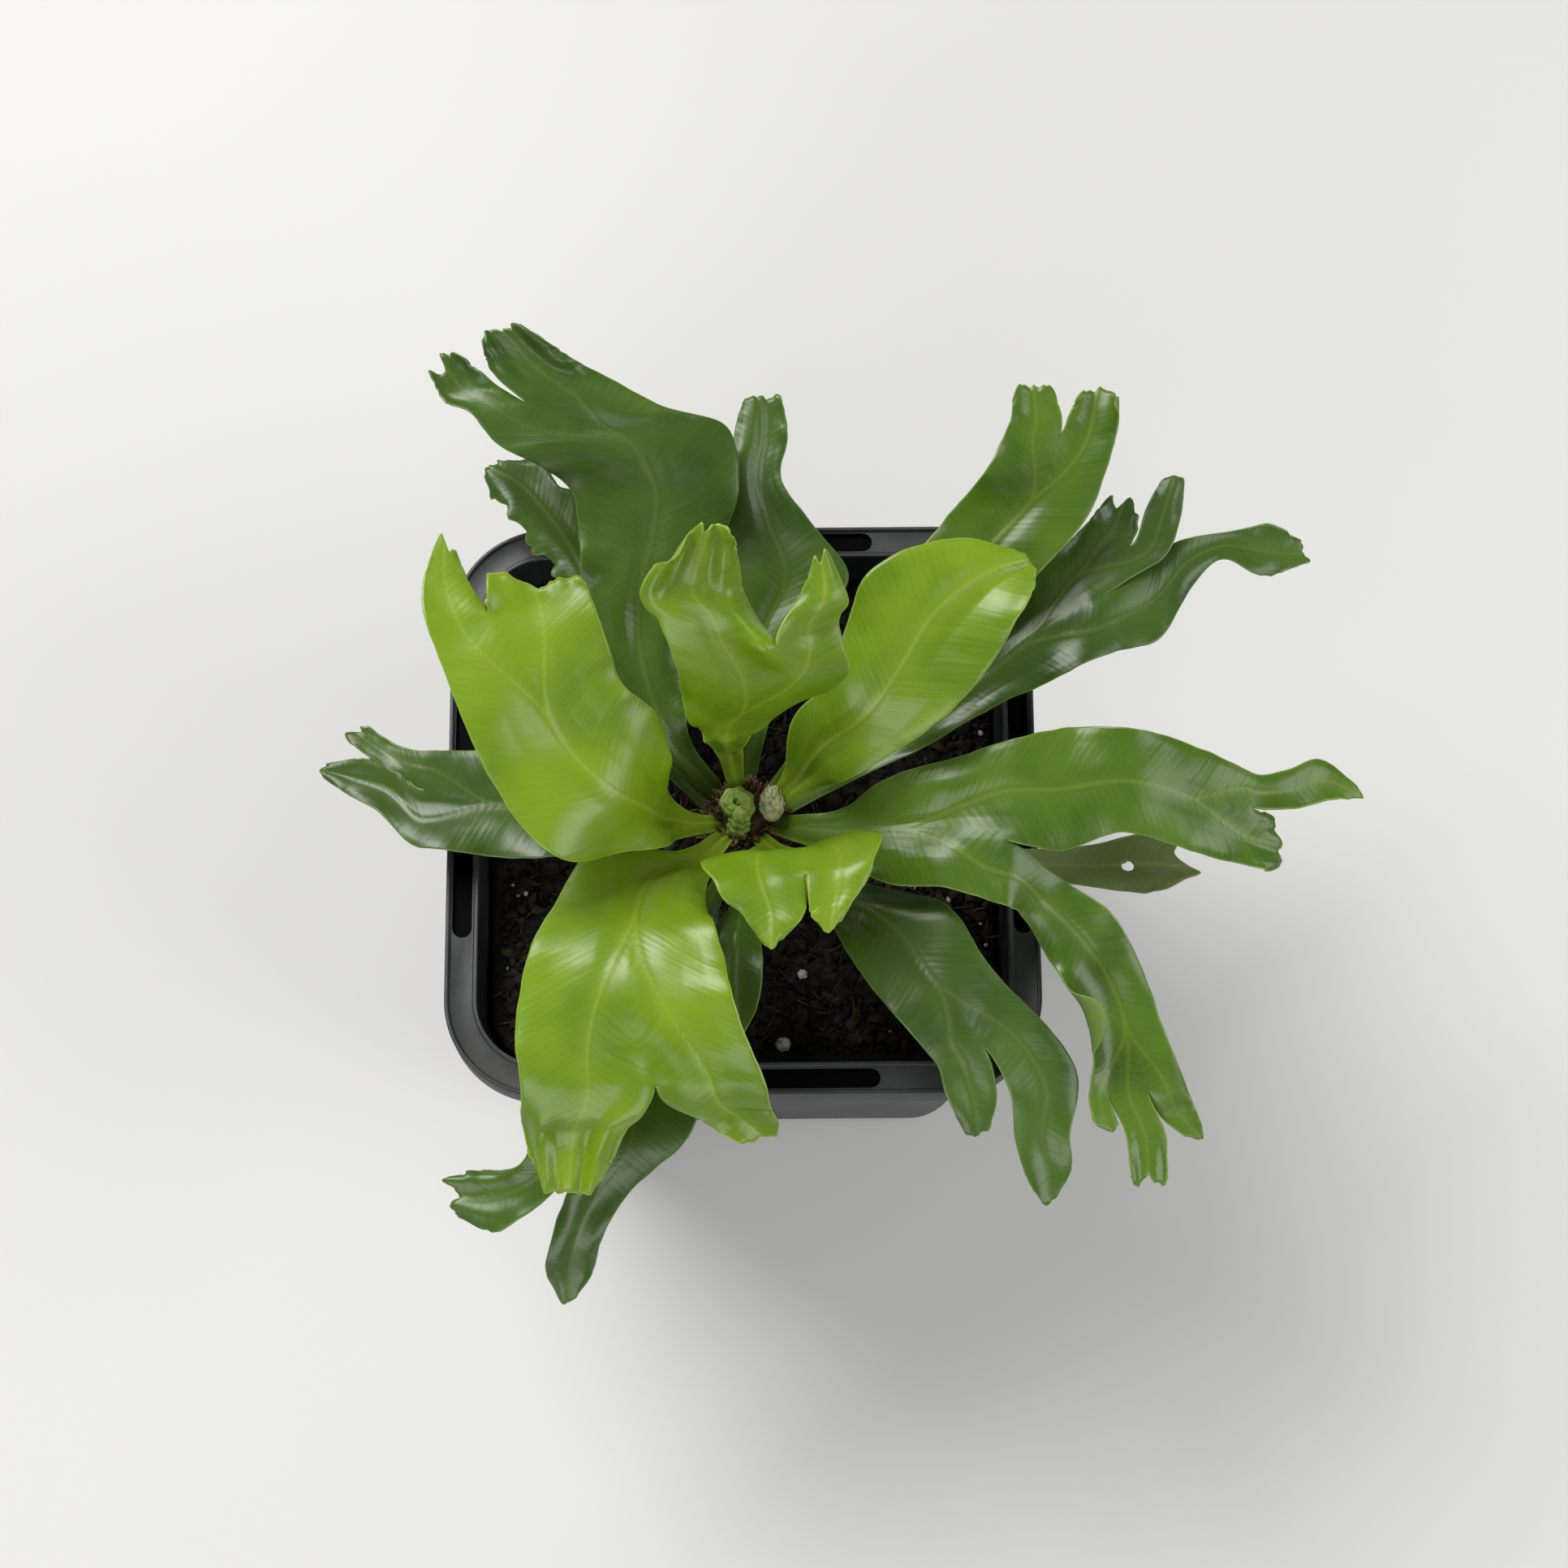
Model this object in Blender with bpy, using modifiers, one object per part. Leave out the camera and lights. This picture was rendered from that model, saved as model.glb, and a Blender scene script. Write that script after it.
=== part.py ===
"""A crested bird's nest fern growing in a square nursery pot.

Everything is one still object. The frame is metres with +Z up, and the origin is the
centre of the pot's underside. The pot stands on Z = 0.

Each frond is a thin blade lofted through a few ribs. A rib says where the blade is, how
wide it is there, which way it grows and how far it rolls. Where a blade forks, its last
rib is shared out between the lobes, and each lobe carries on through ribs of its own.
"""

import math
from typing import NamedTuple

import bmesh
import bpy
import numpy as np

MM = 0.001

# Pot. The wall is straight from the base to the underside of the rim.
POT_WIDTH = 90 * MM  # across the rim
POT_HEIGHT = 75 * MM
BASE_WIDTH = 71 * MM
WALL = 1.2 * MM
FLOOR = 2.0 * MM
RIM_BAND = 5.0 * MM  # how wide the flat of the rim is
RIM_THICKNESS = 1.8 * MM
RIM_CORNER = 15 * MM
BASE_CORNER = 8 * MM
SKIRT_DROP = 6.0 * MM  # the lip that hangs from the rim's outer edge
SKIRT_WALL = 1.2 * MM
BEAD_WIDTH = 0.7 * MM
BEAD_HEIGHT = 0.4 * MM
FOOT_ROUND = 1.5 * MM
CORNER_STEPS = 6

# One slot pressed into the flat of each side of the rim.
SLOT_LENGTH = 41 * MM
SLOT_WIDTH = 3.0 * MM
SLOT_DEPTH = 0.9 * MM

# Drainage holes: one near each corner of the floor and one near each side.
DRAIN_RADIUS = 3.0 * MM
DRAIN_INSET = 10 * MM

# Potting mix
SOIL_DROP = 9.0 * MM  # from the rim down to the soil
SOIL_GAP = 0.4 * MM
SOIL_BUMP = 0.7 * MM
SOIL_RINGS = 7

# Rhizome: the short upright stem that carries every frond.
CROWN_X = 0.5 * MM
CROWN_Y = -3.0 * MM
CROWN_RADIUS = 6.4 * MM  # at the lower ring of fronds
CROWN_TOP_RADIUS = 4.2 * MM  # at the upper ring
LOWER_RING = -3.0 * MM  # heights from the rim
UPPER_RING = 3.0 * MM
CROWN_TOP = 5.5 * MM
ROOT_DEPTH = 22 * MM  # how far the root stock reaches into the soil
ROOT_RADIUS = 5.0 * MM
SOCKET_GAP = 0.4 * MM

# Fronds
SPREAD = 1.0  # scales every rib's place and width about the crown
BLADE = 0.8 * MM
STALK_HALF = 1.1 * MM
FOOT_GAP = 0.6 * MM  # between the end of a stalk and the rhizome
ROW_SPACING = 4.0 * MM
ARCH = 0.10  # how far a blade bows up across its width, as a share of half its width
RUFFLE = 0.5 * MM  # how far a blade's edges wave up and down
RUFFLE_LENGTH = 11 * MM

# The two youngest shoots, on top of the rhizome
COIL_OUTER = 2.9 * MM
COIL_INNER = 1.0 * MM
COIL_TURNS = 1.1
SHOOT_RADIUS = 0.8 * MM
SHOOT_GAP = 0.5 * MM
BUD_RADIUS = 1.8 * MM
BUD_LENGTH = 5.0 * MM


class Rib(NamedTuple):
    """One cross-section of a blade, in millimetres and degrees.

    x, y and z are its middle, from the crown's centre at the level of the rim. turn is
    the way the blade grows, seen from above, and roll lifts its left edge.
    """

    x: float
    y: float
    z: float
    half: float
    turn: float
    roll: float = 0


class Lobe(NamedTuple):
    """A branch of a blade: how many columns it takes, its ribs, and its own branches."""

    columns: int
    ribs: tuple
    lobes: tuple = ()


class Frond(NamedTuple):
    """One frond. foot is where its stalk meets the crown, seen from above."""

    material: str
    foot: float
    upper: bool
    ribs: tuple
    lobes: tuple = ()


YOUNG = "frond_young"
MATURE = "frond_mature"
DARK = "frond_dark"
UNFORKED_COLUMNS = 6

FRONDS = {
    "frond_back_left": Frond(
        DARK, 125, False,
        (
            Rib(-12, 12, 9, 3.4, 110),
            Rib(-14.5, 19, 11, 6, 98),
            Rib(-16, 29, 15, 8, 94),
            Rib(-13.5, 40, 19, 11, 92),
            Rib(-13, 46, 22, 12.5, 91),
            Rib(-16, 51.5, 25, 14.4, 101),
            Rib(-24.5, 54.5, 27, 12.4, 104),
            Rib(-29.5, 58, 28.5, 10.5, 107),
        ),
        (
            Lobe(3, (
                Rib(-41.5, 59.5, 29.5, 3.4, 128),
                Rib(-44, 62.5, 30.5, 2.6, 132),
            )),
            Lobe(5, (
                Rib(-31, 62.5, 31, 6.2, 98),
                Rib(-34.5, 66, 33, 4.4, 100),
            )),
        ),
    ),
    "frond_back_left_low": Frond(
        DARK, 150, False,
        (
            Rib(-14, 12, 2, 1.6, 125),
            Rib(-20.5, 28, 3.5, 2.2, 117),
            Rib(-25, 40, 5, 4, 122),
            Rib(-30.5, 48.5, 6, 5.2, 135),
            Rib(-34.5, 53, 6, 4.7, 140),
            Rib(-38.5, 55.5, 6, 2.6, 141),
        ),
    ),
    "frond_back": Frond(
        DARK, 90, False,
        (
            Rib(1, 15, 7, 3, 89),
            Rib(3, 27, 11, 6, 85),
            Rib(6.5, 36, 13, 9.5, 86),
            Rib(4, 42.5, 15, 6.8, 90),
            Rib(2, 49, 17, 4, 92),
            Rib(3, 56.5, 19, 4, 88),
            Rib(3, 61, 20, 3, 90),
        ),
    ),
    "frond_left_young": Frond(
        YOUNG, 192, True,
        (
            Rib(-9, -3.5, 13, 2.2, 185),
            Rib(-14.5, -4.5, 26, 7.2, 160),
            Rib(-19.5, -3.5, 33, 12.5, 144),
            Rib(-26.5, 3.5, 38, 11.5, 126),
            Rib(-30, 12, 42, 11.5, 108),
            Rib(-32.8, 19.6, 43.8, 11.7, 102),
        ),
        (
            Lobe(3, (
                Rib(-41.8, 24, 45, 3, 97),
                Rib(-41.8, 28, 46, 1.6, 95),
            )),
            Lobe(5, (
                Rib(-29.3, 22.6, 45, 7.2, 99),
            )),
        ),
    ),
    "frond_centre_young": Frond(
        YOUNG, 105, True,
        (
            Rib(-2, 6.8, 12, 1.8, 95),
            Rib(-2.3, 6.6, 25, 3.8, 92),
            Rib(0.5, 8, 36, 9, 90, 6),
            Rib(3, 10.5, 43, 12, 90, 7),
            Rib(1.5, 14.8, 49, 12.6, 90, 7),
        ),
        (
            Lobe(5, (
                Rib(-6.6, 19, 52.5, 7.2, 92, 5),
                Rib(-5.6, 22.5, 56, 5.6, 92, 4),
                Rib(-4.6, 25.2, 59, 4.3, 90, 4),
            )),
            Lobe(3, (
                Rib(11.8, 18.3, 52.5, 3.2, 80, 3),
                Rib(11.4, 22.4, 55, 1.1, 85),
            )),
        ),
    ),
    "frond_right_young": Frond(
        YOUNG, 20, True,
        (
            Rib(7.8, 3.6, 11, 2.6, 35, 6),
            Rib(12.2, 6.6, 20, 6.2, 42, 8),
            Rib(18.5, 9.5, 27, 7.4, 50, 12),
            Rib(23, 15, 31, 9.8, 54, 10),
            Rib(27.5, 21.5, 34, 11, 54, 8),
            Rib(33, 26, 35.5, 8.6, 50, 9),
            Rib(38, 28.5, 35.5, 5.4, 45, 10),
            Rib(41, 29.5, 35, 2.4, 45, 10),
        ),
    ),
    "frond_back_right_forked": Frond(
        MATURE, 55, False,
        (
            Rib(12, 13, 5, 2, 50),
            Rib(20.5, 20, 10, 4, 50),
            Rib(30.5, 31, 15, 7.3, 53),
            Rib(38, 38.3, 18.5, 8.2, 60, 4),
            Rib(44.5, 45.5, 22, 8.4, 68, 6),
            Rib(47.8, 53, 25.5, 8, 80, 5),
        ),
        (
            Lobe(4, (
                Rib(43.7, 58.6, 28.3, 3.2, 93),
            )),
            Lobe(4, (
                Rib(53.2, 58, 27.6, 3, 78),
            )),
        ),
    ),
    "frond_right_back_crested": Frond(
        DARK, 27, False,
        (
            Rib(14, 6.5, 3, 1.8, 27),
            Rib(25, 11.5, 7, 2.6, 30),
            Rib(36, 19.5, 9, 4.6, 34),
            Rib(45.5, 26.5, 11, 7.4, 28),
            Rib(52.5, 31.5, 12, 9.1, 22),
        ),
        (
            Lobe(5, (
                Rib(57.7, 40, 13, 6.2, 60),
            ), (
                Lobe(3, (
                    Rib(57.8, 45.6, 14, 3, 82),
                )),
                Lobe(2, (
                    Rib(64, 44.6, 14, 2.7, 72),
                    Rib(65.6, 49.8, 14.8, 1.9, 92),
                )),
            )),
            Lobe(4, (
                Rib(63.1, 32.3, 10.5, 6.1, 6),
                Rib(67.6, 37.6, 10.5, 3.5, 14),
                Rib(73.4, 40.5, 10, 2.2, -10),
                Rib(79.8, 40, 8.7, 3.8, -10),
                Rib(85.2, 39.8, 8, 2.2, -10),
            )),
        ),
    ),
    "frond_right_forked": Frond(
        MATURE, 342, True,
        (
            Rib(14, -4.5, 11, 3.8, -12, 6),
            Rib(22, -5.5, 15.5, 8, -7, 8),
            Rib(30.5, -5.5, 19, 9.6, -4, 10),
            Rib(38.5, -6, 21, 12, -5, 12),
        ),
        (
            Lobe(8, (
                Rib(46, -1.5, 22.5, 9, -4, 13),
                Rib(56.5, -0.5, 23, 7.6, -12, 13),
                Rib(67, -3, 20.5, 7.4, -9, 13),
                Rib(74, -5, 18, 6.8, -6, 12),
            ), (
                Lobe(3, (
                    Rib(80.5, 0, 16, 2.9, 14, 8),
                    Rib(86.5, 2, 13.5, 3, 4),
                    Rib(90.4, 0.6, 12, 1.2, -25),
                )),
                Lobe(5, (
                    Rib(78, -8.3, 15.8, 4.2, -10, 8),
                )),
            )),
            Lobe(5, (
                Rib(43.5, -16, 15.5, 4, -46, 20),
                Rib(49.5, -21.5, 13, 5.8, -50, 18),
                Rib(54, -28, 10, 5, -64, 15),
                Rib(56.5, -36, 7.5, 5.4, -77, 10),
                Rib(57.6, -43, 6, 7.2, -88, 5),
            ), (
                Lobe(2, (
                    Rib(63.4, -45.9, 5, 2.6, -72),
                    Rib(65.8, -48.9, 4.5, 1.5, -62),
                )),
                Lobe(2, (
                    Rib(58.6, -49.5, 5, 2.9, -90),
                    Rib(59, -55.4, 3.4, 2.8, -88),
                )),
                Lobe(1, (
                    Rib(52.9, -48, 5, 1.9, -98),
                )),
            )),
        ),
    ),
    "frond_right_low": Frond(
        MATURE, 352, False,
        (
            Rib(17, -3.5, 0.5, 1.3, -7),
            Rib(28.5, -5.5, 3, 1.5, -8),
            Rib(40.5, -7.5, 4, 2, -6),
            Rib(52.5, -8.5, 5, 3.4, 0),
            Rib(60.5, -8.2, 5, 4.5, 0),
            Rib(65.2, -8.6, 5, 4, -6),
        ),
    ),
    "frond_front_right_low": Frond(
        DARK, 312, False,
        (
            Rib(8.5, -8.5, 3, 1.6, -48),
            Rib(14, -13.5, 8, 3.4, -55),
            Rib(22.5, -20, 11.5, 8, -58),
            Rib(28.5, -28.5, 11.5, 8, -63),
            Rib(36, -36.5, 9.5, 8.6, -72),
        ),
        (
            Lobe(4, (
                Rib(43.8, -42.5, 6.5, 5.2, -78),
                Rib(43.5, -49.5, 4, 4, -85),
                Rib(44.5, -55, 2, 3.2, -78),
                Rib(44.5, -58.5, 1, 1.2, -70),
            )),
            Lobe(3, (
                Rib(33, -43, 7, 3.8, -86),
                Rib(34, -48.5, 4, 2, -80),
            )),
        ),
    ),
    "frond_front_left_young": Frond(
        YOUNG, 225, True,
        (
            Rib(-7, -8.5, 10, 2.6, 234),
            Rib(-14, -14, 19, 9, 244, 4),
            Rib(-16, -24, 25, 13, 262, 7),
            Rib(-16.5, -34, 25, 15.7, 269, 5),
            Rib(-14.3, -43.6, 21.3, 17.4, 269, 5),
        ),
        (
            Lobe(4, (
                Rib(-1.8, -47.6, 18.6, 5.6, 278),
                Rib(2, -50.6, 16, 3.2, 298),
            )),
            Lobe(5, (
                Rib(-24.4, -49.8, 17.6, 7.6, 268, 7),
                Rib(-25.2, -56.8, 14, 5, 266, 5),
            )),
        ),
    ),
    "frond_front_low": Frond(
        DARK, 245, False,
        (
            Rib(-5.5, -14, 4, 1.7, 250),
            Rib(-9.5, -24.5, 6, 4.8, 255),
            Rib(-15, -38.5, 8, 8.6, 258),
            Rib(-19, -48, 7.5, 10.8, 262),
            Rib(-23, -53, 6, 9.2, 262),
        ),
        (
            Lobe(4, (
                Rib(-22.5, -58, 4, 4.2, 268),
                Rib(-25, -63, 1, 3.6, 262),
                Rib(-26.5, -68, -4, 3.2, 268),
                Rib(-26.8, -71, -6, 1.4, 278),
            )),
            Lobe(3, (
                Rib(-34.5, -57, 4, 4, 214),
                Rib(-39, -58, 2.5, 4.8, 200),
                Rib(-42.5, -57.5, 2, 3, 186),
            )),
        ),
    ),
    "frond_front_small": Frond(
        DARK, 272, False,
        (
            Rib(-0.6, -14, 5, 1.4, 266),
            Rib(-1.2, -20, 9, 3.5, 265),
            Rib(-1.6, -26, 9.5, 4.1, 270),
            Rib(-1.4, -31.4, 9, 2.8, 270),
            Rib(-1.2, -34.4, 8, 1, 272),
        ),
    ),
    "frond_front_young": Frond(
        YOUNG, 300, True,
        (
            Rib(5.2, -8, 12, 2.4, 285),
            Rib(6.5, -10.2, 20, 8, 280),
            Rib(7, -12.5, 25, 13, 277),
            Rib(7.4, -16.5, 27.5, 11.6, 279),
        ),
        (
            Lobe(3, (
                Rib(13, -20, 28.5, 3.8, 296),
                Rib(12.5, -23, 28.5, 1.5, 285),
            )),
            Lobe(4, (
                Rib(4, -21.5, 28.5, 4.4, 264),
                Rib(4, -25.2, 28.5, 1.7, 272),
            )),
        ),
    ),
    "frond_left_low": Frond(
        DARK, 180, False,
        (
            Rib(-15, 0.5, 3, 2.4, 180),
            Rib(-28, 1, 5, 8, 180),
            Rib(-40, 1.8, 5, 8.2, 180),
            Rib(-48.5, 2.4, 4.5, 7.6, 178),
        ),
        (
            Lobe(5, (
                Rib(-54.5, 4.9, 4, 3.9, 165),
                Rib(-59.5, 6.8, 3.2, 2.9, 162),
                Rib(-63.8, 8, 3, 1.2, 165),
            )),
            Lobe(3, (
                Rib(-55.5, 10.8, 4.5, 1.9, 150),
                Rib(-59, 13.4, 4.5, 1.9, 132),
            )),
        ),
    ),
}

PERLITE = (  # each bit's place on the soil and its radius
    (6 * MM, -36 * MM, 1.2 * MM),
    (9 * MM, -25 * MM, 0.8 * MM),
    (26 * MM, -10.5 * MM, 0.9 * MM),
    (-33 * MM, 33 * MM, 1.0 * MM),
)
BARK = (  # each chip's place, length and turn in degrees
    (-30 * MM, -22 * MM, 7 * MM, 35),
    (20 * MM, 33 * MM, 6 * MM, 110),
)
BARK_WIDTH = 2.8 * MM
BARK_THICKNESS = 1.4 * MM
SOIL_TOP_GAP = 0.4 * MM  # between the soil and what lies on it


# ---------------------------------------------------------------------- scene

def clear_scene():
    for obj in list(bpy.data.objects):
        bpy.data.objects.remove(obj, do_unlink=True)


def new_collection(name):
    collection = bpy.data.collections.new(name)
    bpy.context.scene.collection.children.link(collection)
    return collection


def principled(name, colour, roughness, specular=0.5):
    material = bpy.data.materials.new(name)
    material.use_nodes = True
    shader = material.node_tree.nodes["Principled BSDF"]
    shader.inputs["Base Color"].default_value = (*colour, 1.0)
    shader.inputs["Roughness"].default_value = roughness
    shader.inputs["Metallic"].default_value = 0.0
    shader.inputs["Specular IOR Level"].default_value = specular
    material.diffuse_color = (*colour, 1.0)
    return material


def make_materials():
    return {
        "pot_plastic": principled("pot_plastic", (0.016, 0.018, 0.018), 0.42),
        "potting_mix": principled("potting_mix", (0.020, 0.014, 0.010), 0.95, 0.2),
        YOUNG: principled(YOUNG, (0.110, 0.230, 0.012), 0.38),
        MATURE: principled(MATURE, (0.050, 0.135, 0.014), 0.36),
        DARK: principled(DARK, (0.024, 0.080, 0.014), 0.36),
        "shoot": principled("shoot", (0.075, 0.165, 0.018), 0.45),
        "bud_scales": principled("bud_scales", (0.20, 0.22, 0.075), 0.70),
        "rhizome": principled("rhizome", (0.055, 0.035, 0.018), 0.85, 0.3),
        "perlite": principled("perlite", (0.62, 0.61, 0.56), 0.90, 0.3),
        "bark": principled("bark", (0.060, 0.030, 0.015), 0.90, 0.3),
    }


def mesh_object(name, vertices, faces, material, collection, smooth=True):
    mesh = bpy.data.meshes.new(name)
    mesh.from_pydata([tuple(map(float, v)) for v in vertices], [], faces)
    mesh.update()
    mesh.polygons.foreach_set("use_smooth", [smooth] * len(mesh.polygons))
    obj = bpy.data.objects.new(name, mesh)
    obj.data.materials.append(material)
    collection.objects.link(obj)
    return obj


def hide_cutter(obj):
    obj.hide_render = True
    obj.display_type = "WIRE"


def cut(obj, cutter):
    modifier = obj.modifiers.new(cutter.name, "BOOLEAN")
    modifier.operation = "DIFFERENCE"
    modifier.solver = "EXACT"
    modifier.object = cutter


# --------------------------------------------------------- rounded-square lofts

def rounded_square(half, corner):
    """The outline of a square with round corners, anticlockwise, as (x, y) points."""
    points = []
    for quarter, (side_x, side_y) in enumerate(((1, 1), (-1, 1), (-1, -1), (1, -1))):
        for step in range(CORNER_STEPS + 1):
            angle = (quarter + step / CORNER_STEPS) * math.pi / 2
            points.append((
                side_x * (half - corner) + corner * math.cos(angle),
                side_y * (half - corner) + corner * math.sin(angle),
            ))
    return points


def loft_rings(name, rings, material, collection, smooth=False):
    """Skins a closed body through rings of equal length, fanned shut at both ends.

    The first ring is at the bottom, and each ring is a list of (x, y, z) points.
    """
    count = len(rings[0])
    vertices = [point for ring in rings for point in ring]
    faces = []
    for level in range(len(rings) - 1):
        low = level * count
        for i in range(count):
            j = (i + 1) % count
            faces.append((low + i, low + j, low + count + j, low + count + i))
    for ring, outward in ((rings[0], False), (rings[-1], True)):
        start = 0 if not outward else (len(rings) - 1) * count
        centre = len(vertices)
        vertices.append(np.mean(ring, axis=0))
        for i in range(count):
            j = (i + 1) % count
            faces.append((start + i, start + j, centre) if outward
                         else (start + j, start + i, centre))
    return mesh_object(name, vertices, faces, material, collection, smooth)


# ------------------------------------------------------------------------ pot

def wall_half(z):
    """Half the width of the wall's outer face at height z."""
    top = POT_HEIGHT - RIM_THICKNESS
    top_half = POT_WIDTH / 2 - RIM_BAND + WALL
    share = min(max(z / top, 0.0), 1.0)
    return BASE_WIDTH / 2 + (top_half - BASE_WIDTH / 2) * share


def wall_corner(z):
    share = min(max(z / POT_HEIGHT, 0.0), 1.0)
    top_corner = RIM_CORNER - RIM_BAND + WALL
    return BASE_CORNER + (top_corner - BASE_CORNER) * share


def rim_corner(half):
    """The rim's edges share their corner centres."""
    return RIM_CORNER - (POT_WIDTH / 2 - half)


def pot_profile():
    """The pot's section from the underside, up the outside, over the rim and down.

    Each entry is (half width, corner radius, height).
    """
    rim_half = POT_WIDTH / 2
    flange_under = POT_HEIGHT - RIM_THICKNESS
    flat = POT_HEIGHT - BEAD_HEIGHT
    inner = rim_half - RIM_BAND
    skirt_in = rim_half - SKIRT_WALL
    foot = BASE_WIDTH / 2 - FOOT_ROUND
    section = [
        (foot, BASE_CORNER - FOOT_ROUND, 0.0),
        (wall_half(0), BASE_CORNER, FOOT_ROUND),
        (wall_half(flange_under), wall_corner(flange_under), flange_under),
        (skirt_in, rim_corner(skirt_in), flange_under),
        (skirt_in, rim_corner(skirt_in), POT_HEIGHT - SKIRT_DROP),
        (rim_half, rim_corner(rim_half), POT_HEIGHT - SKIRT_DROP),
    ]
    for half, z in (
        (rim_half, POT_HEIGHT),
        (rim_half - BEAD_WIDTH, POT_HEIGHT),
        (rim_half - BEAD_WIDTH, flat),
        (inner + BEAD_WIDTH, flat),
        (inner + BEAD_WIDTH, POT_HEIGHT),
        (inner, POT_HEIGHT),
    ):
        section.append((half, rim_corner(half), z))
    section += [
        (wall_half(flange_under) - WALL, wall_corner(flange_under) - WALL, flange_under),
        (wall_half(FLOOR) - WALL, wall_corner(FLOOR) - WALL, FLOOR),
    ]
    return section


def box_cutter(name, size, place, collection):
    bpy.ops.mesh.primitive_cube_add(size=1, location=place)
    cutter = bpy.context.active_object
    cutter.name = name
    cutter.scale = size
    for other in cutter.users_collection:
        other.objects.unlink(cutter)
    collection.objects.link(cutter)
    hide_cutter(cutter)
    return cutter


def drum_cutter(name, radius, depth, place, collection, sides=16):
    bpy.ops.mesh.primitive_cylinder_add(
        vertices=sides, radius=radius, depth=depth, location=place
    )
    cutter = bpy.context.active_object
    cutter.name = name
    for other in cutter.users_collection:
        other.objects.unlink(cutter)
    collection.objects.link(cutter)
    hide_cutter(cutter)
    return cutter


def drain_places():
    """Every drainage hole's centre. The middle of the floor stays whole."""
    reach = BASE_WIDTH / 2 - DRAIN_INSET
    steps = (-reach, 0.0, reach)
    return [(x, y) for x in steps for y in steps if (x, y) != (0.0, 0.0)]


def make_pot(materials, collection, cutters):
    rings = [
        [(x, y, z) for x, y in rounded_square(half, corner)]
        for half, corner, z in pot_profile()
    ]
    pot = loft_rings("pot", rings, materials["pot_plastic"], collection)
    slot_line = (POT_WIDTH - RIM_BAND) / 2
    slot_floor = POT_HEIGHT - BEAD_HEIGHT - SLOT_DEPTH
    for index, (along_x, along_y) in enumerate(((0, 1), (0, -1), (1, 0), (-1, 0))):
        if along_x:
            size = (SLOT_WIDTH, SLOT_LENGTH, 2 * RIM_THICKNESS)
        else:
            size = (SLOT_LENGTH, SLOT_WIDTH, 2 * RIM_THICKNESS)
        place = (along_x * slot_line, along_y * slot_line, slot_floor + RIM_THICKNESS)
        cut(pot, box_cutter(f"slot_cutter_{index + 1}", size, place, cutters))
    for index, (x, y) in enumerate(drain_places()):
        place = (x, y, FLOOR / 2)
        name = f"drain_cutter_{index + 1}"
        cut(pot, drum_cutter(name, DRAIN_RADIUS, 4 * FLOOR, place, cutters))
    return pot


# ----------------------------------------------------------------- potting mix

def soil_level():
    return POT_HEIGHT - SOIL_DROP


def soil_bump(x, y):
    """How far the soil stands above or below its level, a smooth uneven swell."""
    u, v = x / (9 * MM), y / (9 * MM)
    swell = math.sin(1.3 * u + 0.7) * math.cos(1.1 * v - 0.4)
    ripple = math.sin(2.9 * u - 1.7 * v + 1.1)
    return SOIL_BUMP * (0.65 * swell + 0.35 * ripple)


def soil_half(z):
    return wall_half(z) - WALL - SOIL_GAP


def make_soil(materials, collection, cutters):
    bottom = FLOOR + SOIL_GAP
    top = soil_level()
    half, corner = soil_half(top), wall_corner(top) - WALL - SOIL_GAP
    low_half, low_corner = soil_half(bottom), wall_corner(bottom) - WALL - SOIL_GAP
    rings = [
        [(x, y, bottom) for x, y in rounded_square(low_half, low_corner)],
        [(x, y, top - 2 * SOIL_BUMP) for x, y in rounded_square(half - SOIL_BUMP, corner)],
    ]
    for ring in range(SOIL_RINGS):
        share = (1 - ring / SOIL_RINGS) * (1 - SOIL_BUMP / half)
        rings.append([
            (x * share, y * share, top + soil_bump(x * share, y * share))
            for x, y in rounded_square(half - SOIL_BUMP, corner)
        ])
    soil = loft_rings("potting_mix", rings, materials["potting_mix"], collection, True)
    socket = drum_cutter(
        "root_socket_cutter",
        ROOT_RADIUS + SOCKET_GAP,
        2 * (ROOT_DEPTH + SOCKET_GAP),
        (CROWN_X, CROWN_Y, top),
        cutters,
        sides=24,
    )
    cut(soil, socket)
    return soil


def make_perlite(materials, collection):
    for index, (x, y, radius) in enumerate(PERLITE):
        z = soil_level() + SOIL_BUMP + SOIL_TOP_GAP + 0.8 * radius
        bpy.ops.mesh.primitive_ico_sphere_add(
            subdivisions=2, radius=radius, location=(x, y, z)
        )
        bit = bpy.context.active_object
        bit.name = f"perlite_{index + 1}"
        bit.scale = (1.0, 0.85, 0.8)
        bit.rotation_euler = (0, 0, 0.9 * index)
        adopt(bit, materials["perlite"], collection)


def make_bark(materials, collection):
    for index, (x, y, length, turn) in enumerate(BARK):
        z = soil_level() + SOIL_BUMP + SOIL_TOP_GAP + BARK_THICKNESS / 2
        bpy.ops.mesh.primitive_cube_add(size=1, location=(x, y, z))
        chip = bpy.context.active_object
        chip.name = f"bark_chip_{index + 1}"
        chip.scale = (length, BARK_WIDTH, BARK_THICKNESS)
        chip.rotation_euler = (0, 0, math.radians(turn))
        bpy.ops.object.transform_apply(location=False, rotation=False, scale=True)
        bevel = chip.modifiers.new("Bevel", "BEVEL")
        bevel.width = BARK_THICKNESS / 4
        bevel.segments = 2
        adopt(chip, materials["bark"], collection)


def adopt(obj, material, collection):
    """Puts a primitive into the collection with its material and smooth shading."""
    for other in obj.users_collection:
        other.objects.unlink(obj)
    collection.objects.link(obj)
    obj.data.materials.clear()
    obj.data.materials.append(material)
    obj.data.polygons.foreach_set("use_smooth", [True] * len(obj.data.polygons))


# -------------------------------------------------------------------- rhizome

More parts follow.
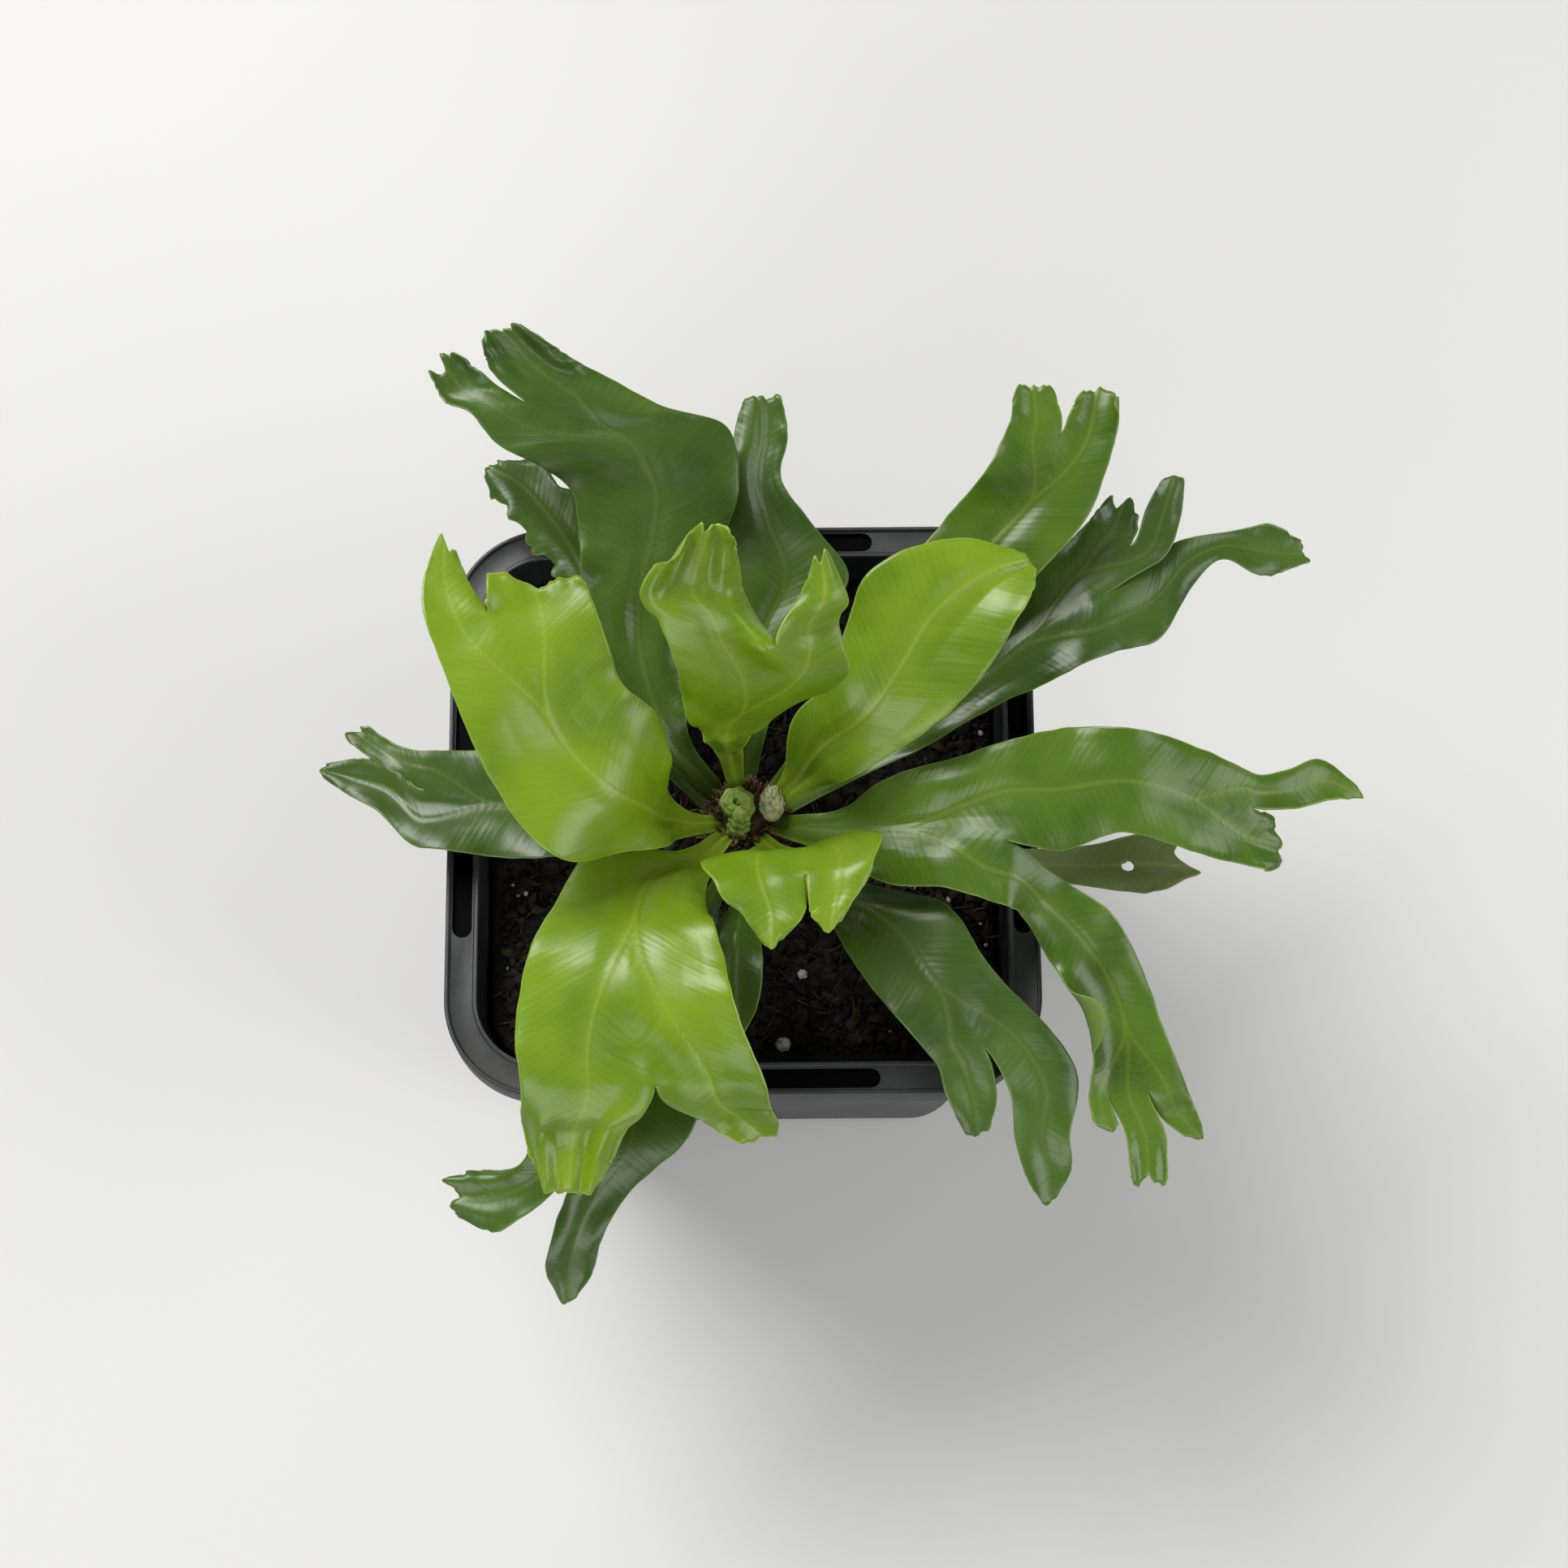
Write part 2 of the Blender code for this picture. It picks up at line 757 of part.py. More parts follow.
def crown_place(z=0.0):
    """A point on the crown's axis, z above the level of the rim."""
    return np.array([CROWN_X, CROWN_Y, POT_HEIGHT + z])


def make_rhizome(materials, collection):
    """The root stock in its socket and the crown above the soil, turned as one."""
    soil = soil_level() - POT_HEIGHT
    collar = soil + SOIL_BUMP + SOCKET_GAP
    profile = [
        (0.0, CROWN_TOP),
        (0.6 * CROWN_TOP_RADIUS, CROWN_TOP - 0.3 * MM),
        (CROWN_TOP_RADIUS, UPPER_RING),
        (0.5 * (CROWN_TOP_RADIUS + CROWN_RADIUS), 0.5 * (UPPER_RING + LOWER_RING)),
        (CROWN_RADIUS, LOWER_RING),
        (CROWN_RADIUS, collar + 1 * MM),
        (ROOT_RADIUS, collar),
        (ROOT_RADIUS, soil - 0.7 * ROOT_DEPTH),
        (0.4 * ROOT_RADIUS, soil - ROOT_DEPTH),
        (0.0, soil - ROOT_DEPTH),
    ]
    mesh = bpy.data.meshes.new("rhizome")
    edges = [(i, i + 1) for i in range(len(profile) - 1)]
    mesh.from_pydata([(r, 0.0, z) for r, z in profile], edges, [])
    rhizome = bpy.data.objects.new("rhizome", mesh)
    rhizome.location = crown_place()
    rhizome.data.materials.append(materials["rhizome"])
    collection.objects.link(rhizome)
    screw = rhizome.modifiers.new("Screw", "SCREW")
    screw.steps = screw.render_steps = 24
    screw.use_merge_vertices = True
    screw.merge_threshold = 0.00001
    screw.use_smooth_shade = True
    return rhizome


def make_crozier(materials, collection):
    """A shoot still rolled up: a short stem that winds into a flat coil."""
    coil_z = CROWN_TOP + SHOOT_GAP + 2.2 * SHOOT_RADIUS
    centre = crown_place(coil_z) + np.array([-1.6 * MM, 0.8 * MM, 0.0])
    start = centre + np.array([0.6 * MM, -COIL_OUTER, -coil_z + CROWN_TOP + SHOOT_GAP + SHOOT_RADIUS])
    route = [start]
    steps = 22
    for step in range(steps + 1):
        share = step / steps
        radius = COIL_OUTER + (COIL_INNER - COIL_OUTER) * share
        angle = math.radians(-60) + 2 * math.pi * COIL_TURNS * share
        route.append(centre + radius * np.array([math.cos(angle), math.sin(angle), 0.0]))
    curve = bpy.data.curves.new("crozier", "CURVE")
    curve.dimensions = "3D"
    curve.bevel_depth = SHOOT_RADIUS
    curve.bevel_resolution = 2
    curve.use_fill_caps = True
    spline = curve.splines.new("POLY")
    spline.points.add(len(route) - 1)
    for point, place in zip(spline.points, route):
        point.co = (*place, 1.0)
    crozier = bpy.data.objects.new("crozier", curve)
    crozier.data.materials.append(materials["shoot"])
    collection.objects.link(crozier)
    return crozier


def make_bud(materials, collection):
    """The newest shoot, still wrapped in pale scales."""
    z = CROWN_TOP + SHOOT_GAP + 1.15 * BUD_RADIUS
    place = crown_place(z) + np.array([4.1 * MM, 0.5 * MM, 0.0])
    bpy.ops.mesh.primitive_uv_sphere_add(
        segments=16, ring_count=10, radius=BUD_RADIUS, location=place
    )
    bud = bpy.context.active_object
    bud.name = "young_bud"
    bud.scale = (1.0, BUD_LENGTH / (2 * BUD_RADIUS), 1.1)
    adopt(bud, materials["bud_scales"], collection)
    return bud


# --------------------------------------------------------------------- fronds

def rib_edges(rib):
    """A rib's left and right ends, in metres, as one row of six numbers."""
    turn, roll = math.radians(rib.turn), math.radians(rib.roll)
    middle = crown_place() + SPREAD * MM * np.array([rib.x, rib.y, rib.z])
    across = np.array([
        -math.sin(turn) * math.cos(roll),
        math.cos(turn) * math.cos(roll),
        math.sin(roll),
    ]) * SPREAD * MM * rib.half
    return np.concatenate([middle + across, middle - across])


def foot_edges(frond):
    """The end of the stalk, FOOT_GAP off the crown at the frond's own ring."""
    angle = math.radians(frond.foot)
    ring = UPPER_RING if frond.upper else LOWER_RING
    radius = (CROWN_TOP_RADIUS if frond.upper else CROWN_RADIUS) + FOOT_GAP + BLADE
    middle = crown_place(ring) + radius * np.array([math.cos(angle), math.sin(angle), 0.0])
    across = STALK_HALF * np.array([-math.sin(angle), math.cos(angle), 0.0])
    return np.concatenate([middle + across, middle - across])


def smooth_rows(knots):
    """Rows ROW_SPACING apart on a smooth path through the knots, both ends included."""
    knots = np.asarray(knots)
    middles = (knots[:, :3] + knots[:, 3:]) / 2
    lengths = np.linalg.norm(np.diff(middles, axis=0), axis=1)
    slopes = np.diff(knots, axis=0) / lengths[:, None]
    tangents = np.empty_like(knots)
    tangents[0], tangents[-1] = slopes[0], slopes[-1]
    for i in range(1, len(knots) - 1):
        before, after = lengths[i - 1], lengths[i]
        tangents[i] = (slopes[i - 1] * after + slopes[i] * before) / (before + after)
    rows = [knots[0]]
    for i, length in enumerate(lengths):
        count = max(1, round(length / ROW_SPACING))
        for step in range(1, count + 1):
            t = step / count
            rows.append(
                (2 * t**3 - 3 * t**2 + 1) * knots[i]
                + (t**3 - 2 * t**2 + t) * length * tangents[i]
                + (3 * t**2 - 2 * t**3) * knots[i + 1]
                + (t**3 - t**2) * length * tangents[i + 1]
            )
    return np.array(rows)


class BladeMesh:
    """Collects the vertices and faces of one open blade, row by row."""

    def __init__(self):
        self.vertices = []
        self.faces = []

    def add_row(self, edges, along, columns, travelled):
        """One row of vertices between two edges, bowed up and waved, as indices."""
        left, right = edges[:3], edges[3:]
        half = np.linalg.norm(left - right) / 2
        normal = np.cross(right - left, along)
        normal /= np.linalg.norm(normal)
        if normal[2] < 0:
            normal = -normal
        wave = RUFFLE * math.sin(2 * math.pi * travelled / RUFFLE_LENGTH)
        reach = min(1.0, half / (4 * MM))
        first = len(self.vertices)
        for column in range(columns + 1):
            u = 2 * column / columns - 1
            lift = ARCH * half * (1 - u * u) + reach * wave * u * abs(u)
            self.vertices.append((left + right) / 2 + (right - left) / 2 * u + normal * lift)
        return list(range(first, first + columns + 1))

    def grow(self, knots, columns, first_row=None):
        """Adds rows through the knots. It returns the last row's vertex indices."""
        rows = smooth_rows(knots)
        middles = (rows[:, :3] + rows[:, 3:]) / 2
        travelled = np.concatenate([[0], np.cumsum(np.linalg.norm(np.diff(middles, axis=0), axis=1))])
        alongs = np.gradient(middles, axis=0)
        previous = first_row
        if previous is None:
            previous = self.add_row(rows[0], alongs[0], columns, 0)
        for row, along, distance in zip(rows[1:], alongs[1:], travelled[1:]):
            current = self.add_row(row, along, columns, distance)
            for i in range(columns):
                self.faces.append((previous[i], current[i], current[i + 1], previous[i + 1]))
            previous = current
        return previous

    def branch(self, row, lobes):
        """Shares a row's vertices out between the lobes and grows each one on."""
        start = 0
        for lobe in lobes:
            share = row[start:start + lobe.columns + 1]
            first = np.concatenate([self.vertices[share[0]], self.vertices[share[-1]]])
            last = self.grow([first] + [rib_edges(rib) for rib in lobe.ribs], lobe.columns, share)
            self.branch(last, lobe.lobes)
            start += lobe.columns


def make_frond(name, frond, materials, collection):
    blade = BladeMesh()
    columns = sum(lobe.columns for lobe in frond.lobes) or UNFORKED_COLUMNS
    last = blade.grow([foot_edges(frond)] + [rib_edges(rib) for rib in frond.ribs], columns)
    blade.branch(last, frond.lobes)
    obj = mesh_object(name, blade.vertices, blade.faces, materials[frond.material], collection)
    solidify = obj.modifiers.new("Solidify", "SOLIDIFY")
    solidify.thickness = BLADE
    solidify.offset = 0.0
    return obj


def main():
    clear_scene()
    collection = new_collection("potted_fern")
    cutters = new_collection("cutters")
    materials = make_materials()
    make_pot(materials, collection, cutters)
    make_soil(materials, collection, cutters)
    make_perlite(materials, collection)
    make_bark(materials, collection)
    make_rhizome(materials, collection)
    make_crozier(materials, collection)
    make_bud(materials, collection)
    for name, frond in FRONDS.items():
        make_frond(name, frond, materials, collection)


main()
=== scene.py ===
"""The looks of a crested bird's nest fern in a square nursery pot.

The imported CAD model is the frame. Every piece made here takes its place from the frame and
from a few driving values, and rides on the frame's one body. Each frond is lofted through
the same ribs as its CAD blade, with the waves, crests, midribs and veins that the plain
blade leaves out. Lengths are in metres unless a name or a note says millimetres.
"""

from __future__ import annotations

import logging
import math
from collections import Counter
from dataclasses import dataclass, field, replace
from enum import Enum
from functools import partial
from typing import Callable, Iterable, NamedTuple, Sequence

import bmesh
import bpy
import numpy as np
from mathutils import Matrix, Vector, noise

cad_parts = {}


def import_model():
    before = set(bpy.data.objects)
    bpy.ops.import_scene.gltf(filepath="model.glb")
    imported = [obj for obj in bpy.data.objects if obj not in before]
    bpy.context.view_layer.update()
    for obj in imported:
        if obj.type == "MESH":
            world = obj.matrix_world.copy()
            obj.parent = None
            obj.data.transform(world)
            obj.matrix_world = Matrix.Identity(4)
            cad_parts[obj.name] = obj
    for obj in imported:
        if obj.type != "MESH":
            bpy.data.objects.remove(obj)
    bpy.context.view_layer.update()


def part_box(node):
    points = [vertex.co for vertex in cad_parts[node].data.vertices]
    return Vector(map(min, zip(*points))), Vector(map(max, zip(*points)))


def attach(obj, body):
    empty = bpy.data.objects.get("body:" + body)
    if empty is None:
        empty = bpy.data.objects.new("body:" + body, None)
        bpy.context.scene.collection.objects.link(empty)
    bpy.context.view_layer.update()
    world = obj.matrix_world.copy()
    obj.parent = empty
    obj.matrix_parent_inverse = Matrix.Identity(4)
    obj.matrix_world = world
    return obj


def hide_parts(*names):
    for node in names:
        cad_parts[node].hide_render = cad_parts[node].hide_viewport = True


LOG = logging.getLogger("potted_fern")
MM = 0.001
BODY = "root"
Colour = tuple[float, float, float]
Socket = bpy.types.NodeSocket
Material = bpy.types.Material
Piece = bpy.types.Object


class Age(Enum):
    """How old a frond is, which settles its colour. Its value is the name of a material slot."""

    YOUNG = "frond_young"
    MATURE = "frond_mature"
    DARK = "frond_dark"


# ------------------------------------------------------------------ node trees


class NodeSketch:
    """Adds nodes to one tree and links them, so that a recipe reads top to bottom."""

    def __init__(self, tree: bpy.types.NodeTree) -> None:
        """Starts on a tree.

        Args:
            tree: the shader or geometry tree to add to.
        """
        self.tree = tree

    def add(self, kind: str, inputs: dict | None = None, **settings: object) -> bpy.types.Node:
        """Adds one node.

        Args:
            kind: the node's Blender type name.
            inputs: for each input's name or index, a socket to link or a value to set.
            settings: the node's own properties.

        Returns:
            The new node.
        """
        node = self.tree.nodes.new(kind)
        for key, value in settings.items():
            setattr(node, key, value)
        for key, value in (inputs or {}).items():
            self.feed(node.inputs[key], value)
        return node

    def feed(self, socket: Socket, value: object) -> None:
        """Links a socket into an input, or sets the input to a plain value.

        Args:
            socket: the input.
            value: an output socket, or a number, colour, vector or material.
        """
        if isinstance(value, Socket):
            self.tree.links.new(value, socket)
        else:
            socket.default_value = value

    def math(self, operation: str, a: object, b: object = 0.0, c: object = 0.0) -> Socket:
        """Adds a Math node.

        Args:
            operation: the operation's name.
            a: the first number or socket.
            b: the second number or socket.
            c: the third number or socket.

        Returns:
            The result's socket.
        """
        return self.add("ShaderNodeMath", {0: a, 1: b, 2: c}, operation=operation).outputs[0]

    def attribute(self, name: str) -> Socket:
        """Returns the socket of a number that the mesh stores at its points."""
        return self.add("ShaderNodeAttribute", attribute_name=name).outputs["Fac"]

    def band(self, value: object, low: float, high: float) -> Socket:
        """Maps a number to 0 at low and 1 at high, eased between them and held outside.

        Args:
            value: the number's socket.
            low: where the result is 0.
            high: where the result is 1.

        Returns:
            The result's socket.
        """
        node = self.add(
            "ShaderNodeMapRange",
            {"Value": value, "From Min": low, "From Max": high},
            interpolation_type="SMOOTHSTEP",
        )
        return node.outputs["Result"]

    def mix(self, amount: object, first: object, second: object) -> Socket:
        """Mixes two colours.

        Args:
            amount: how much of the second shows, from 0 to 1.
            first: a colour or a socket.
            second: a colour or a socket.

        Returns:
            The mixed colour's socket.
        """
        node = self.add("ShaderNodeMix", data_type="RGBA")
        self.feed(node.inputs[0], amount)
        for index, colour in ((6, first), (7, second)):
            if isinstance(colour, tuple) and len(colour) == 3:
                colour = (*colour, 1.0)
            self.feed(node.inputs[index], colour)
        return node.outputs[2]

    def times(self, a: object, b: object) -> Socket:
        """Returns the product of two numbers or sockets."""
        return self.math("MULTIPLY", a, b)

    def glaze(self, colour: object, over: object, mask: object, share: object) -> Socket:
        """Lays one colour over another.

        Args:
            colour: the colour so far.
            over: the colour to lay over it.
            mask: where it shows, from 0 to 1.
            share: how much of it shows where the mask is 1.

        Returns:
            The mixed colour's socket.
        """
        return self.mix(self.times(mask, share), colour, over)

    def noise(self, scale: float, detail: float = 3.0, rough: float = 0.5,
              vector: object = None) -> Socket:
        """Adds a Noise texture on Object coordinates, or on a given vector.

        Args:
            scale: waves to the metre.
            detail: octaves.
            rough: how strong the finer octaves are.
            vector: a socket, or None for Object coordinates.

        Returns:
            The noise's value socket.
        """
        if vector is None:
            vector = self.place()
        inputs = {"Vector": vector, "Scale": scale, "Detail": detail, "Roughness": rough}
        return self.add("ShaderNodeTexNoise", inputs).outputs["Fac"]

    def place(self) -> Socket:
        """Returns the Object coordinate."""
        return self.add("ShaderNodeTexCoord").outputs["Object"]

    def bump(self, height: object, strength: float, distance: float,
             normal: object = None) -> Socket:
        """Adds a Bump node.

        Args:
            height: the height's socket.
            strength: how much of it shows.
            distance: the height in metres of a value of 1.
            normal: an earlier bump's socket.

        Returns:
            The normal's socket.
        """
        node = self.add("ShaderNodeBump", {"Strength": strength, "Distance": distance, "Height": height})
        if normal is not None:
            self.feed(node.inputs["Normal"], normal)
        return node.outputs["Normal"]


def new_material(name: str) -> tuple[Material, NodeSketch, bpy.types.Node]:
    """Starts a node material.

    Args:
        name: the material's name.

    Returns:
        The material, a sketch on its tree, and its Principled shader.
    """
    material = bpy.data.materials.new(name)
    material.use_nodes = True
    shader = material.node_tree.nodes["Principled BSDF"]
    return material, NodeSketch(material.node_tree), shader


def glow(shader: bpy.types.Node, weight: float, radius: Colour, scale: float) -> None:
    """Lets light into living tissue.

    Args:
        shader: the Principled shader.
        weight: how much of the light goes in.
        radius: how far red, green and blue go, as shares of the scale.
        scale: the depth in metres.
    """
    shader.inputs["Subsurface Weight"].default_value = weight
    shader.inputs["Subsurface Radius"].default_value = radius
    shader.inputs["Subsurface Scale"].default_value = scale


# -------------------------------------------------------------------- finishes


@dataclass(frozen=True)
class LeafFinish:
    """A waxy fern blade: veined and glossy above, paler and duller below."""

    name: str
    deep: Colour
    light: Colour
    rib: Colour
    # pale edge band colour: partly the blade's own edge tone, partly a painted highlight on the rounded edge
    margin: Colour
    underside: Colour
    roughness: float = 0.38
    speckle: float = 0.0
    vein_pitch: float = 1.15  # millimetres along the midrib
    vein_slant: float = 0.62  # how far a vein runs forward for each millimetre outward

    def build(self) -> Material:
        """Returns the material, whose pattern follows the blade's stored offsets."""
        material, sketch, shader = new_material(self.name)
        offset = sketch.math("ABSOLUTE", sketch.attribute("rib_offset"))
        along = sketch.attribute("along")
        margin = sketch.attribute("margin")
        under = sketch.attribute("underside")
        warp = sketch.times(sketch.noise(160, 2.0), 0.9)
        start = sketch.math("SUBTRACT", along, sketch.times(offset, self.vein_slant))
        start = sketch.math("ADD", start, warp)
        turn = sketch.times(start, 2 * math.pi / self.vein_pitch)
        vein = sketch.math("MULTIPLY_ADD", sketch.math("SINE", turn), 0.5, 0.5)
        patches = sketch.noise(55, 3.0, 0.5)
        streaks = sketch.add("ShaderNodeCombineXYZ", {0: start, 1: sketch.times(offset, 0.10)})
        streak = sketch.noise(0.8, 3.0, 0.55, streaks.outputs[0])
        colour = sketch.mix(sketch.band(patches, 0.34, 0.68), self.deep, self.light)
        colour = sketch.glaze(colour, self.light, sketch.band(streak, 0.42, 0.72), 0.28)
        colour = sketch.glaze(colour, self.rib, sketch.math("POWER", vein, 3.0), 0.07)
        colour = sketch.glaze(colour, self.rib, sketch.band(offset, 3.0, 0.2), 0.16)
        colour = sketch.glaze(colour, self.rib, sketch.band(offset, 0.42, 0.10), 0.42)
        # pale edge band: partly the blade's own edge tone, partly a painted highlight along the rounded edge
        colour = sketch.glaze(colour, self.margin, sketch.band(margin, 0.30, 0.04), 0.40)
        colour = sketch.glaze(colour, self.rib, sketch.band(along, 16.0, 2.0), 0.35)
        colour = sketch.glaze(colour, self.underside, under, 0.75)
        dots = sketch.add("ShaderNodeTexVoronoi", {"Vector": sketch.place(), "Scale": 330.0})
        dotted = sketch.times(sketch.band(dots.outputs["Distance"], 0.13, 0.06), self.speckle)
        colour = sketch.mix(dotted, colour, self.margin)
        sketch.feed(shader.inputs["Base Color"], colour)
        gloss = sketch.math("MULTIPLY_ADD", sketch.noise(110, 3.0, 0.55), 0.10, self.roughness - 0.05)
        sketch.feed(shader.inputs["Roughness"], sketch.math("MULTIPLY_ADD", under, 0.16, gloss))
        glow(shader, 0.18, (0.5, 1.0, 0.15), 1.2 * MM)
        relief = sketch.math("MULTIPLY_ADD", streak, 0.8, sketch.times(vein, 0.10))
        normal = sketch.bump(sketch.math("MULTIPLY_ADD", patches, 1.4, relief), 0.45, 0.16 * MM)
        pores = sketch.noise(2400, 2.0)
        sketch.feed(shader.inputs["Normal"], sketch.bump(pores, 0.06, 0.03 * MM, normal))
        return material


@dataclass(frozen=True)
class MouldedPlastic:
    """Thin recycled nursery-pot plastic: charcoal, satin, faintly streaked and dusty.

    slot_line and slot_heights say where the rim's slots are, which get painted shade: near-black colour and
    less shine.
    """

    name: str
    colour: Colour
    dust: Colour
    slot_line: tuple[float, float] = (40.9 * MM, 44.1 * MM)
    slot_reach: float = 20.7 * MM
    slot_heights: tuple[float, float] = (73.4 * MM, 74.5 * MM)
    # near-black painted shade for the slots' floors and sides
    slot_shade_colour: Colour = (0.0012, 0.0012, 0.0014)

    def slots(self, sketch: NodeSketch) -> Socket:
        """Returns the socket of a painted-shade mask that is 1 on the floors and sides of the rim's slots."""
        axes = sketch.add("ShaderNodeSeparateXYZ", {0: sketch.place()})
        x, y = sketch.math("ABSOLUTE", axes.outputs[0]), sketch.math("ABSOLUTE", axes.outputs[1])
        z, out = axes.outputs[2], sketch.math("MAXIMUM", x, y)
        (low, high), (below, above) = self.slot_line, self.slot_heights
        ring = sketch.times(sketch.math("GREATER_THAN", out, low), sketch.math("LESS_THAN", out, high))
        sideways = sketch.math("MINIMUM", x, y)
        ring = sketch.times(ring, sketch.math("LESS_THAN", sideways, self.slot_reach))
        deep = sketch.math("GREATER_THAN", z, below)
        return sketch.times(ring, sketch.times(deep, sketch.band(z, above, below + 0.3 * MM)))

    def build(self) -> Material:
        """Returns the material."""
        material, sketch, shader = new_material(self.name)
        grain = sketch.noise(900, 4.0, 0.6)
        flow = sketch.add("ShaderNodeMapping", {"Vector": sketch.place(), "Scale": (1.0, 1.0, 0.18)})
        streak = sketch.noise(260, 3.0, 0.55, flow.outputs[0])
        smudge = sketch.noise(45, 3.0, 0.5)
        speck = sketch.add("ShaderNodeTexVoronoi", {"Vector": sketch.place(), "Scale": 420.0})
        dusty = sketch.times(sketch.band(speck.outputs["Distance"], 0.10, 0.03), 0.5)
        lighter = tuple(1.55 * c for c in self.colour)
        colour = sketch.mix(sketch.band(streak, 0.42, 0.70), self.colour, lighter)
        colour = sketch.glaze(colour, self.dust, sketch.band(smudge, 0.50, 0.72), 0.22)
        colour = sketch.glaze(colour, self.dust, dusty, sketch.band(smudge, 0.45, 0.60))
        # painted shade: the slots turn near black and lose most of their specular shine
        slot_shade = self.slots(sketch)
        colour = sketch.mix(slot_shade, colour, self.slot_shade_colour)
        sketch.feed(shader.inputs["Specular IOR Level"], sketch.math("MULTIPLY_ADD", slot_shade, -0.47, 0.5))
        sketch.feed(shader.inputs["Base Color"], colour)
        rough = sketch.math("MULTIPLY_ADD", smudge, 0.30, 0.27)
        sketch.feed(shader.inputs["Roughness"], sketch.math("MULTIPLY_ADD", grain, 0.10, rough))
        normal = sketch.bump(streak, 0.22, 0.10 * MM)
        sketch.feed(shader.inputs["Normal"], sketch.bump(grain, 0.30, 0.05 * MM, normal))
        return material


@dataclass(frozen=True)
class CrumbFinish:
    """Rough, dull matter with two tones: peat, bark, perlite or root stock."""

    name: str
    dark: Colour
    light: Colour
    scale: float
    roughness: float = 0.92
    relief: float = 0.25 * MM
    fibrous: bool = False

    def build(self) -> Material:
        """Returns the material. A fibrous one is streaked along Z."""
        material, sketch, shader = new_material(self.name)
        vector = sketch.place()
        if self.fibrous:
            vector = sketch.add("ShaderNodeMapping", {"Vector": vector, "Scale": (1.0, 1.0, 0.22)}).outputs[0]
        tone = sketch.noise(self.scale, 5.0, 0.62, vector)
        fine = sketch.noise(self.scale * 5, 4.0, 0.6, vector)
        colour = sketch.mix(sketch.band(tone, 0.36, 0.68), self.dark, self.light)
        colour = sketch.glaze(colour, self.light, sketch.band(fine, 0.52, 0.70), 0.5)
        sketch.feed(shader.inputs["Base Color"], colour)
        rough = sketch.math("MULTIPLY_ADD", fine, 0.12, self.roughness - 0.08)
        sketch.feed(shader.inputs["Roughness"], rough)
        shader.inputs["Specular IOR Level"].default_value = 0.25
        normal = sketch.bump(tone, 0.8, self.relief)
        sketch.feed(shader.inputs["Normal"], sketch.bump(fine, 0.5, 0.3 * self.relief, normal))
        return material


@dataclass(frozen=True)
class ShootFinish:
    """A tender shoot: ribbed green with a dusting of pale hair."""

    name: str
    green: Colour
    pale: Colour

    def build(self) -> Material:
        """Returns the material."""
        material, sketch, shader = new_material(self.name)
        mottle = sketch.noise(500, 4.0, 0.6)
        fine = sketch.noise(2400, 3.0, 0.6)
        ridge = sketch.attribute("ridge")
        colour = sketch.mix(sketch.band(mottle, 0.35, 0.65), self.green, self.pale)
        colour = sketch.glaze(colour, self.pale, ridge, 0.45)
        sketch.feed(shader.inputs["Base Color"], colour)
        sketch.feed(shader.inputs["Roughness"], sketch.math("MULTIPLY_ADD", fine, 0.2, 0.42))
        glow(shader, 0.15, (0.6, 1.0, 0.2), 1.0 * MM)
        normal = sketch.bump(mottle, 0.4, 0.10 * MM)
        sketch.feed(shader.inputs["Normal"], sketch.bump(fine, 0.3, 0.04 * MM, normal))
        return material


LEAF_FINISHES = {
    Age.YOUNG: LeafFinish(
        "leaf_young", deep=(0.088, 0.178, 0.002), light=(0.155, 0.268, 0.003), rib=(0.250, 0.350, 0.030),
        margin=(0.370, 0.460, 0.080), underside=(0.180, 0.270, 0.030), roughness=0.34, speckle=0.05,
    ),
    Age.MATURE: LeafFinish(
        "leaf_mature", deep=(0.040, 0.098, 0.003), light=(0.078, 0.158, 0.005), rib=(0.135, 0.215, 0.022),
        margin=(0.250, 0.340, 0.065), underside=(0.120, 0.195, 0.034), roughness=0.33,
    ),
    Age.DARK: LeafFinish(
        "leaf_dark", deep=(0.026, 0.066, 0.004), light=(0.052, 0.112, 0.007), rib=(0.090, 0.155, 0.024),
        margin=(0.170, 0.250, 0.055), underside=(0.090, 0.150, 0.034), roughness=0.34,
    ),
}
FADED_FINISH = LeafFinish(
    "leaf_faded", deep=(0.092, 0.136, 0.030), light=(0.155, 0.205, 0.056), rib=(0.205, 0.245, 0.088),
    margin=(0.260, 0.270, 0.110), underside=(0.150, 0.180, 0.070), roughness=0.52, speckle=0.12,
)
POT_FINISH = MouldedPlastic("pot_satin_plastic", colour=(0.017, 0.019, 0.020), dust=(0.085, 0.080, 0.070))
PEAT_FINISH = CrumbFinish("damp_peat", dark=(0.0030, 0.0025, 0.0020), light=(0.014, 0.011, 0.008), scale=650)
CRUMB_FINISH = CrumbFinish(
    "peat_crumb", dark=(0.0036, 0.0028, 0.0022), light=(0.020, 0.015, 0.011), scale=900
)
FIBRE_FINISH = CrumbFinish("peat_fibre", dark=(0.022, 0.016, 0.011), light=(0.070, 0.052, 0.036), scale=700)
PERLITE_FINISH = CrumbFinish(
    "perlite_grain", dark=(0.30, 0.29, 0.25), light=(0.58, 0.57, 0.51), scale=1500, relief=0.20 * MM
)
BARK_FINISH = CrumbFinish(
    "composted_bark", dark=(0.012, 0.008, 0.005), light=(0.044, 0.029, 0.019), scale=600
)
ROOT_FINISH = CrumbFinish(
    "root_stock", dark=(0.020, 0.011, 0.006), light=(0.085, 0.052, 0.028), scale=700, fibrous=True
)
SCALE_FINISH = CrumbFinish(
    "papery_scale", dark=(0.045, 0.024, 0.012), light=(0.180, 0.115, 0.062), scale=1400,
    roughness=0.7, relief=0.08 * MM,
)
